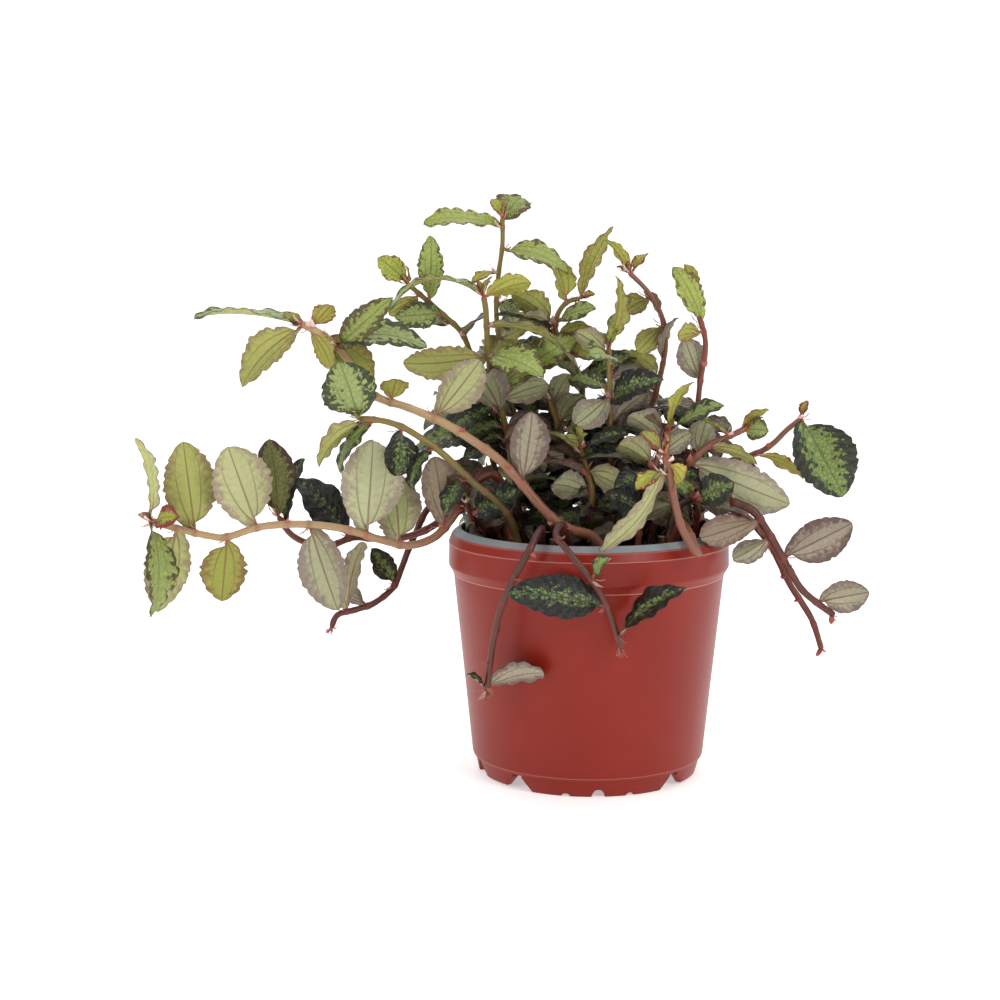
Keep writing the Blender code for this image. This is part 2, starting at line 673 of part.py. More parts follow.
def makeSoil(roots):
    """Soil up to a little below the lip, with a plain hole for each root."""
    gap = meshGap + potWall
    profile = [(0, footHeight + gap), (stepRadius - gap, footHeight + gap)]
    profile += [(ledgeRadius - gap, ledgeHeight + meshGap), (ledgeRadius - gap, None)]
    profile += [(radius, None) for radius in soilRings] + [(0, None)]
    points, faces = turnedSolid(profile, soilSides, soilTop)
    mesh = bpy.data.meshes.new("soil")
    mesh.from_pydata(points, [], faces)
    soil = addObject("soil", mesh, (0.02, 0.014, 0.01), 0.95)
    holes = newCollection("holes")
    for x, y, radius in roots:
        low = soilTop(x, y) - holeDepth - meshGap
        reach = (radius + meshGap) / math.cos(math.pi / stemSides)
        cutter = [(0, low), (reach, low), (reach, potHeight), (0, potHeight)]
        points, faces = turnedSolid(cutter, stemSides)
        addGuide("hole", [point + Vector((x, y, 0)) for point in points], faces, holes)
    applyBoolean(soil, "DIFFERENCE", holes)
    return soil


def tubeSolid(curve, radii, sides):
    """A closed tube along the curve, its rings kept from twisting."""
    points, faces = [], []
    count = len(curve)
    frame = Vector((1, 0, 0))
    for index, (centre, radius) in enumerate(zip(curve, radii)):
        before = curve[max(index - 1, 0)]
        after = curve[min(index + 1, count - 1)]
        along = (after - before).normalized()
        frame = (frame - along * frame.dot(along)).normalized()
        other = along.cross(frame)
        for side in range(sides):
            turn = math.tau * side / sides
            points.append(centre + (frame * math.cos(turn) + other * math.sin(turn)) * radius)
    faces.append(tuple(reversed(range(sides))))
    for ring in range(count - 1):
        low, high = ring * sides, (ring + 1) * sides
        for side in range(sides):
            after = (side + 1) % sides
            faces.append((low + side, low + after, high + after, high + side))
    faces.append(tuple(range((count - 1) * sides, count * sides)))
    return points, faces


def bladeShape(t):
    """Half width of an oval blade at t from its foot (0) to its tip (1), 1 at most."""
    return math.sin(math.pi * min(max(t, 0), 1) ** 0.9) ** 0.6


class Leaf:
    """One leaf: its frame, from foot to tip, and its blade as a shallow arched sheet."""

    def __init__(self, base, tip, turn, width, arch, stemRadius):
        self.base = base
        span = tip - base
        self.length = span.length
        self.midrib = span.normalized()
        toEye = (eyePoint - base).normalized()
        facing = toEye - self.midrib * toEye.dot(self.midrib)
        facing.normalize()
        side = self.midrib.cross(facing)
        if side.z < -0.2 or (side.z < 0.2 and side.x < 0):
            side = -side
        angle = math.radians(turn)
        self.normal = facing * math.cos(angle) + side * math.sin(angle)
        self.across = self.normal.cross(self.midrib)
        self.half = width * mm / 2
        self.arch = arch
        self.foot = min((stemRadius + stalkReach) / self.length, stalkShare)
        self.phase = (tip.x + tip.z) / mm

    def halfWidth(self, u, side):
        if u <= self.foot:
            return stalkHalf
        t = (u - self.foot) / (1 - self.foot)
        slip = bladeSlip if side > 0 else 0
        wide = 1 + bladeSlip if side > 0 else 1 - bladeSlip
        blade = self.half * wide * bladeShape((t - slip) / (1 - slip))
        return max(blade, stalkHalf * (1 - t))

    def point(self, u, side, swell):
        out = self.halfWidth(u, side) * swell * abs(side)
        wave = math.sin(waveTurns * u + self.phase + side) * min(out / self.half, 1)
        height = self.arch * self.length * 4 * u * (1 - u) + bladeFold * out
        height += bladeWave * self.length * wave
        spot = self.base + self.midrib * (self.length * u)
        return spot + self.across * (out * side) + self.normal * height

    def solid(self, extra=0):
        """The blade's closed solid: scalloped edge, folded along the midrib."""
        rows = 8 if self.length > longBlade else (6 if self.length > middleBlade else 4)
        levels = [0, self.foot] + [
            self.foot + (1 - self.foot) * (row - 1) / (rows - 1) for row in range(2, rows)
        ]
        left, right, middle = [], [], []
        sheet = []
        for row, u in enumerate(levels):
            swell = 1 + (scallop if row % 2 else -scallop) * (row > 1)
            swell += extra / self.half
            left.append(len(sheet))
            sheet.append(self.point(u, -1, swell))
            right.append(len(sheet))
            sheet.append(self.point(u, 1, swell))
            if row % 2 == 0 and row:
                middle.append(len(sheet))
                sheet.append(self.point(u, 0, 1))
        tipIndex = len(sheet)
        sheet.append(self.base + self.midrib * (self.length + extra))
        for line in (left, right, middle):
            line.append(tipIndex)
        first = middle[0]
        faces = [(left[0], right[0], first), (left[0], first, left[1]), (right[0], right[1], first)]
        faces += [(left[1], first, left[2]), (right[1], right[2], first)]
        for pair in range(1, rows // 2):
            a, b = middle[pair - 1], middle[pair]
            l0, l1, l2 = left[2 * pair : 2 * pair + 3]
            r0, r1, r2 = right[2 * pair : 2 * pair + 3]
            faces += [(a, l1, l0), (a, b, l1), (a, r0, r1), (a, r1, b)]
            if l2 != b:
                faces += [(b, l2, l1), (b, r1, r2)]
        rim = left[:-1] + [tipIndex] + right[-2::-1]
        count = len(sheet)
        lift = self.normal * (bladeThickness / 2 + extra)
        points = [point + lift for point in sheet] + [point - lift for point in sheet]
        solid = list(faces)
        solid += [tuple(index + count for index in reversed(face)) for face in faces]
        for a, b in zip(rim, rim[1:] + rim[:1]):
            solid.append((a, b, b + count, a + count))
        return points, solid


def nearestOnCurve(curve, x, z):
    """The curve's point that the front view shows nearest to x, z."""
    def distance(index):
        seenX, seenZ = seenPlace(curve[index])
        return (seenX - x) ** 2 + (seenZ - z) ** 2
    return min(range(2, len(curve)), key=distance)


class Space:
    """What is already standing, so that each new leaf is bent clear of it."""

    def __init__(self):
        self.things = []

    def add(self, owner, points, faces, base=None):
        low = [min(point[axis] for point in points) for axis in range(3)]
        high = [max(point[axis] for point in points) for axis in range(3)]
        self.things.append((owner, base, low, high, BVHTree.FromPolygons(points, faces)))

    def isClear(self, owner, points, faces, base):
        low = [min(point[axis] for point in points) for axis in range(3)]
        high = [max(point[axis] for point in points) for axis in range(3)]
        tree = BVHTree.FromPolygons(points, faces)
        for name, foot, otherLow, otherHigh, other in self.things:
            if any(low[axis] > otherHigh[axis] or high[axis] < otherLow[axis] for axis in range(3)):
                continue
            if name == owner and (foot is None or (foot - base).length < siblingReach):
                continue
            if tree.overlap(other):
                return False
        return True


def placeLeaf(space, owner, base, radius, entry):
    """The first of the leaf's near poses that is clear of the rest, or None."""
    tipX, tipZ, deeper, turn, width, arch = entry
    depth = base.y / mm
    seenX, seenZ = seenPlace(base)
    for size in leafSizes:
        for shift in leafShifts:
            for swing in leafSwings:
                x = seenX + (tipX - seenX) * size
                z = seenZ + (tipZ - seenZ) * size
                tip = seenPoint(x, depth + deeper * size + shift, z)
                leaf = Leaf(base, tip, turn + swing, width * (1 + size) / 2, arch, radius)
                if space.isClear(owner, *leaf.solid(clearance), base):
                    space.add(owner, *leaf.solid(), base)
                    return leaf
    return None


def stemCurve(rootX, rootY, route):
    """The stem's curve: straight up out of its hole, then through the route."""
    ground = soilTop(rootX, rootY)
    start = Vector((rootX, rootY, ground + rootRise))
    return [Vector((rootX, rootY, ground - holeDepth))] + smoothRoute([start] + route, routeSteps)


def backRoute(stem, chance):
    """A rule-made route that rises from the root, goes out and comes down."""
    turn = math.radians(stem["turn"])
    out = Vector((math.cos(turn), math.sin(turn), 0))
    side = Vector((-out.y, out.x, 0))
    sway = chance.uniform(-backSway, backSway)
    route = []
    for step in range(1, backSteps + 1):
        t = step / backSteps
        reach = stem["root"] + (stem["reach"] - stem["root"]) * t ** 0.8
        rise = math.sin(math.pi / 2 * min(t / backTopAt, 1))
        drop = (max(t - backDropFrom, 0) / (1 - backDropFrom)) ** 1.5
        height = backStart + (stem["peak"] - backStart) * rise + (stem["end"] - stem["peak"]) * drop
        route.append((out * reach + side * (sway * t)) * mm + Vector((0, 0, height * mm)))
    return out * (stem["root"] * mm), route


def growStems(space):
    """Every stem's curve, radius along it and leaves, all clear of one another."""
    grown = []
    for stem in stems:
        rootX, rootY = (value * mm for value in stem["root"])
        route = [seenPoint(*point) for point in stem["route"]]
        curve = stemCurve(rootX, rootY, route)
        thick, thin = stem["thick"], stem["tip"]
        grown.append(dict(name=stem["name"], tone=stem["tone"], curve=curve, thick=thick, thin=thin))
    chance = random.Random(7)
    for stem in backStems:
        root, route = backRoute(stem, chance)
        curve = stemCurve(root.x, root.y, route)
        thick, thin = backThick, backThin
        grown.append(dict(name=stem["name"], tone="olive", curve=curve, thick=thick, thin=thin))
    for stem in grown:
        count = len(stem["curve"]) - 1
        thick, thin = stem["thick"] * mm / 2, stem["thin"] * mm / 2
        stem["radii"] = [thick + (thin - thick) * index / count for index in range(count + 1)]
        wide = [radius + clearance for radius in stem["radii"]]
        space.add(stem["name"], *tubeSolid(stem["curve"], wide, stemSides))
    for stem, plan in zip(grown, stems):
        stem["leaves"] = []
        for baseX, baseZ, tipX, tipZ, deeper, turn, width, age, arch in plan["leaves"]:
            index = nearestOnCurve(stem["curve"], baseX, baseZ)
            base, radius = stem["curve"][index], stem["radii"][index]
            entry = (tipX, tipZ, deeper, turn, width, arch)
            leaf = placeLeaf(space, stem["name"], base, radius, entry)
            if leaf:
                leaf.age = age
                stem["leaves"].append(leaf)
            else:
                print("no room:", stem["name"], baseX, baseZ)
    for stem in grown[len(stems):]:
        stem["leaves"] = growBackLeaves(space, stem, chance)
    for stem in grown:
        if stem["name"] in coreStems:
            stem["leaves"] += growCoreLeaves(space, stem, chance)
    return grown


def crownHeight(x):
    """How high the dense middle of the plant stands, in mm, as the front view shows it."""
    return crownTop - crownSlope * (max(x, 0) + max(crownFlatFrom - x, 0))


def growCoreLeaves(space, stem, chance):
    """Older leaves that fill the middle of the plant behind the ones set by hand."""
    curve, leaves, walked = stem["curve"], [], 0
    for index in range(coreFirstPoint, len(curve) - 3):
        base = curve[index]
        walked += (base - curve[index - 1]).length
        seenX, seenZ = seenPlace(base)
        inside = coreLeft < seenX < coreRight and seenZ < crownHeight(seenX) - coreMargin
        if walked < coreLeafStep or not inside:
            continue
        walked = 0
        turn = math.radians(chance.uniform(*coreTurns))
        reach = Vector((math.cos(turn), math.sin(turn), chance.uniform(*coreRises)))
        size = chance.uniform(*coreSizes)
        tip = base + reach.normalized() * (coreLeafLength * size * mm)
        tipX, tipZ = seenPlace(tip)
        if tipZ > crownHeight(tipX) or not tipsLeft < tipX < tipsRight:
            continue
        deeper = (tip.y - base.y) / mm
        entry = (tipX, tipZ, deeper, chance.uniform(*coreLeans), coreLeafWidth * size, leafArch)
        leaf = placeLeaf(space, stem["name"], base, stem["radii"][index], entry)
        if leaf:
            leaf.age = chance.uniform(*coreAges)
            leaves.append(leaf)
    return leaves


def growBackLeaves(space, stem, chance):
    """Leaves in two ranks along a back stem, and one at its tip."""
    curve, leaves = stem["curve"], []
    walked, side = 0, 1
    for index in range(2, len(curve)):
        walked += (curve[index] - curve[index - 1]).length
        atTip = index == len(curve) - 1
        bare = curve[index].z < soilLevel + backBareHeight and index < backBarePoints
        if not atTip and (walked < backLeafStep or bare):
            continue
        walked, side = 0, -side
        base = curve[index]
        along = (base - curve[index - 1]).normalized()
        out = along.cross(Vector((0, 0, 1))).normalized() * side
        reach = along if atTip else out + along * chance.uniform(*backSweeps)
        reach = (reach.normalized() + Vector((0, 0, chance.uniform(*backRises)))).normalized()
        size = chance.uniform(*backSizes)
        tip = base + reach * (backLeafLength * size * mm)
        tipX, tipZ = seenPlace(tip)
        deeper = (tip.y - base.y) / mm
        entry = (tipX, tipZ, deeper, chance.uniform(*backLeans), backLeafWidth * size, leafArch)
        leaf = placeLeaf(space, stem["name"], base, stem["radii"][index], entry)
        if leaf:
            leaf.age = chance.uniform(*backAges)
            leaves.append(leaf)
    return leaves


def makeStem(stem):
    """One leafy stem: its tube and leaves joined into one solid."""
    curve, radii = stem["curve"], stem["radii"]
    kept = [curve[0]] + keepBends(curve[1:], routeTolerance)
    radiusAt = [radii[curve.index(point)] for point in kept]
    points, faces = tubeSolid(kept, radiusAt, stemSides)
    mesh = bpy.data.meshes.new(stem["name"])
    mesh.from_pydata(points, [], faces)
    piece = addObject(stem["name"], mesh, tones[stem["tone"]], 0.45)
    blades = newCollection("blades")
    for leaf in stem["leaves"]:
        addGuide("blade", *leaf.solid(), blades)
    applyBoolean(piece, "UNION", blades)
    return piece


def makeStub(index, x, y, radius, height):
    ground = soilTop(x * mm, y * mm)
    profile = [
        (0, ground - holeDepth / 2), (radius * mm, ground - holeDepth / 2),
        (radius * mm, ground + height * mm), (0, ground + height * mm),
    ]
    points, faces = turnedSolid(profile, stubSides)
    place = Vector((x * mm, y * mm, 0))
    mesh = bpy.data.meshes.new("cut_stub")
    mesh.from_pydata([point + place for point in points], [], faces)
    return addObject(f"cut_stub_{index}", mesh, (0.45, 0.35, 0.22), 0.8)


def main():
    for piece in list(bpy.data.objects):
        bpy.data.objects.remove(piece)
    space = Space()
    space.add("pot", *turnedSolid(potProfile(), potSides))
    grown = growStems(space)
    makePot()
    roots = [(stem["curve"][0].x, stem["curve"][0].y, stem["thick"] * mm / 2) for stem in grown]
    roots += [(x * mm, y * mm, radius * mm) for x, y, radius, height in cutStubs]
    makeSoil(roots)
    for stem in grown:
        makeStem(stem)
    for index, stub in enumerate(cutStubs, 1):
        makeStub(index, *stub)


main()
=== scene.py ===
import bmesh
import bpy
import json
import math
import numpy as np
import random
from mathutils import Euler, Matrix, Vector, noise
from mathutils.bvhtree import BVHTree

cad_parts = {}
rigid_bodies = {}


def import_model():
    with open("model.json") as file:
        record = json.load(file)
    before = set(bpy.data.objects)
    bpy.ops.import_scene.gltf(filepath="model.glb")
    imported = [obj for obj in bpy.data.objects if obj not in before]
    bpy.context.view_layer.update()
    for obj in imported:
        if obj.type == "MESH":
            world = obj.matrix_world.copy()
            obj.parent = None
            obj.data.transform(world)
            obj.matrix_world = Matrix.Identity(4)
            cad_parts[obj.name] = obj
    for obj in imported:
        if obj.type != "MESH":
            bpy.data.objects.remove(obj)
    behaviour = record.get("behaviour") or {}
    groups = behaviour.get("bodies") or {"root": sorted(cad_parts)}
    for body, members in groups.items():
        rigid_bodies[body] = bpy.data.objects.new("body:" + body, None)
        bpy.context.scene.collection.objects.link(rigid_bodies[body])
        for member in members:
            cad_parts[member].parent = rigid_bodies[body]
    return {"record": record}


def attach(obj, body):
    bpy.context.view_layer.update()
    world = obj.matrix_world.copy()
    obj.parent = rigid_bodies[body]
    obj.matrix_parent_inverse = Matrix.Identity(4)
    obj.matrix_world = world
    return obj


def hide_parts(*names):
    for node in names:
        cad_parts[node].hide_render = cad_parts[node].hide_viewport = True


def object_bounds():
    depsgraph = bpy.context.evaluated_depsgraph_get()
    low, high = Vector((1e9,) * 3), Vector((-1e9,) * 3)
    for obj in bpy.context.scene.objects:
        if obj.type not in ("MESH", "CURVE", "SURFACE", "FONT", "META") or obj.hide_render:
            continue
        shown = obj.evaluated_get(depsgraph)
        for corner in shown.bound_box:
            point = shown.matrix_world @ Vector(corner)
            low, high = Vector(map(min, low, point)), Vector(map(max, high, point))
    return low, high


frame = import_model()
cadBox = [list(corner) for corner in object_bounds()]
mm = 0.001


def srgb(code):  # a #rrggbb colour as the linear one that the shaders take
    parts = [int(code[at : at + 2], 16) / 255 for at in (1, 3, 5)]
    return (*(part / 12.92 if part <= 0.04045 else ((part + 0.055) / 1.055) ** 2.4 for part in parts), 1)


def feed(tree, source, socket):  # link a socket, or a node's first open output
    if isinstance(source, bpy.types.Node):
        source = next(output for output in source.outputs if output.enabled)
    tree.links.new(source, socket)


def addNode(tree, kind, inputs={}, **options):  # each input is a value, or the node or socket that feeds it
    node = tree.nodes.new("ShaderNode" + kind)
    for name, value in options.items():
        if name == "stops":
            for place, code in value[1:-1]:
                node.color_ramp.elements.new(place)
            for element, (place, code) in zip(node.color_ramp.elements, value):
                element.position, element.color = place, srgb(code)
        else:
            setattr(node, name, value)
    for name, value in inputs.items():
        if isinstance(value, (bpy.types.Node, bpy.types.NodeSocket)):
            feed(tree, value, node.inputs[name])
        else:
            node.inputs[name].default_value = value
    return node


def newMaterial(name, settings):  # settings go straight on the shader's own sockets
    material = bpy.data.materials.new(name)
    material.use_nodes = True
    for socket, value in settings.items():
        material.node_tree.nodes["Principled BSDF"].inputs[socket].default_value = value
    coordinates = addNode(material.node_tree, "TexCoord").outputs["Object"]
    return material, material.node_tree, coordinates


def readVector(tree, name):  # the three parts of a vector that the mesh carries
    stored = addNode(tree, "Attribute", attribute_name=name).outputs["Vector"]
    return addNode(tree, "SeparateXYZ", {0: stored}).outputs


def finishSurface(tree, colour, height, strength, deepMm, rough=None):  # colour, relief and gloss
    raised = addNode(tree, "Bump", {"Strength": strength, "Distance": deepMm * mm, "Height": height})
    for socket, source in (("Base Color", colour), ("Normal", raised), ("Roughness", rough)):
        if source:
            feed(tree, source, tree.nodes["Principled BSDF"].inputs[socket])


def addObject(name, data, collection=None):
    thing = bpy.data.objects.new(name, data)
    (collection or bpy.context.scene.collection).objects.link(thing)
    return thing


# Real camera place, read from the rim, ledge and foot ellipses of a 120 mm pot
view = {
    "eye": Vector((-38 * mm, -803 * mm, 227 * mm)),
    "downDegrees": 7.8,
    "lensMm": 68.2,
    "sensorMm": 36,
}
eyePoint = view["eye"]

# Pot, outside sizes of a moulded 12 cm pot
potForm = {
    "rimRadius": 60 * mm, "creaseHeight": 99.7 * mm, "lipRadius": 58.6 * mm, "lipHeight": 103.2 * mm,
    "mouthRadius": 54.8 * mm, "height": 106 * mm, "ledgeRadius": 57.9 * mm, "ledgeHeight": 86.6 * mm,
    "bandHeight": 90 * mm, "stepRadius": 49.8 * mm, "stepHeight": 8 * mm, "heelRadius": 48.3 * mm,
    "footHeight": 6.4 * mm, "wall": 1.2 * mm, "heelRounding": 0.6 * mm, "cadSides": 36, "sides": 160,
    "footInner": 44.4 * mm, "footOuter": 47.2 * mm, "footTop": 48.7 * mm, "longFootSpan": 80,
    "shortFootSpan": 29, "frontFootTurn": 3, "notchStep": 16.5, "sideNotch": (4.6, 1.2 * mm),
    "middleNotch": (7, 3.1 * mm), "footSlope": 5.5, "footEnd": 5.2 * mm, "shortFootRise": 0.6 * mm,
    "centreFootRadius": 9 * mm,
    "drainCircle": 30 * mm, "drainRadius": 3.5 * mm, "drainHoles": 6,
    "cornerRounding": 0.7 * mm, "cornerSteps": 4, "crease": 0.22 * mm, "ledgeBead": 0.25 * mm,
    "footStep": 1.2, "footEdge": 0.35 * mm, "roundSides": 32,
}

# Soil: its level and waves are those of the frame's solid
soilForm = {
    "gap": 0.3 * mm, "level": 96.6 * mm, "bump": 1.1 * mm, "waves": (9 * mm, 11 * mm, 17 * mm),
    "rings": 46, "sides": 150, "lump": 1.3 * mm, "lumpScale": 210, "crumbs": 520, "crumbSeed": 11,
    "crumbSize": (0.7 * mm, 2.6 * mm), "barkShare": 0.2, "holeDepth": 12 * mm,
}

# Stems and leaves
stemForm = {
    "rootRise": 1.5 * mm, "rootLead": 5 * mm, "cadSides": 5, "routeSteps": 8,
    "step": 0.8 * mm, "sides": 12, "knot": 0.2, "knotReach": 1.1 * mm, "scarStep": 13 * mm,
    "scarRoom": 6 * mm, "scarFrom": 18 * mm, "scarKnot": 0.7, "taper": 2.2 * mm, "uneven": 0.08,
    "unevenScale": 400, "bluntEnd": (0.25, 0.35), "pointedEnd": (1, 0.9),
}
leafForm = {
    "thickness": 0.8 * mm, "stalkHalf": 0.7 * mm, "stalkReach": 1.2 * mm, "stalkShare": 0.3,
    "slip": 0.05, "fold": 0.16, "wave": 0.02, "waveTurns": 9, "scallop": 0.055, "long": 40 * mm,
    "middle": 29 * mm, "clearance": 0.4 * mm, "siblingReach": 7 * mm, "arch": 0.1,
    "sizes": (1, 0.88, 0.76), "shifts": (0, 5, -5, 10, -10, 16, -16, 22, -22),
    "swings": (0, 14, -14, 28, -28, 45, -45),
}

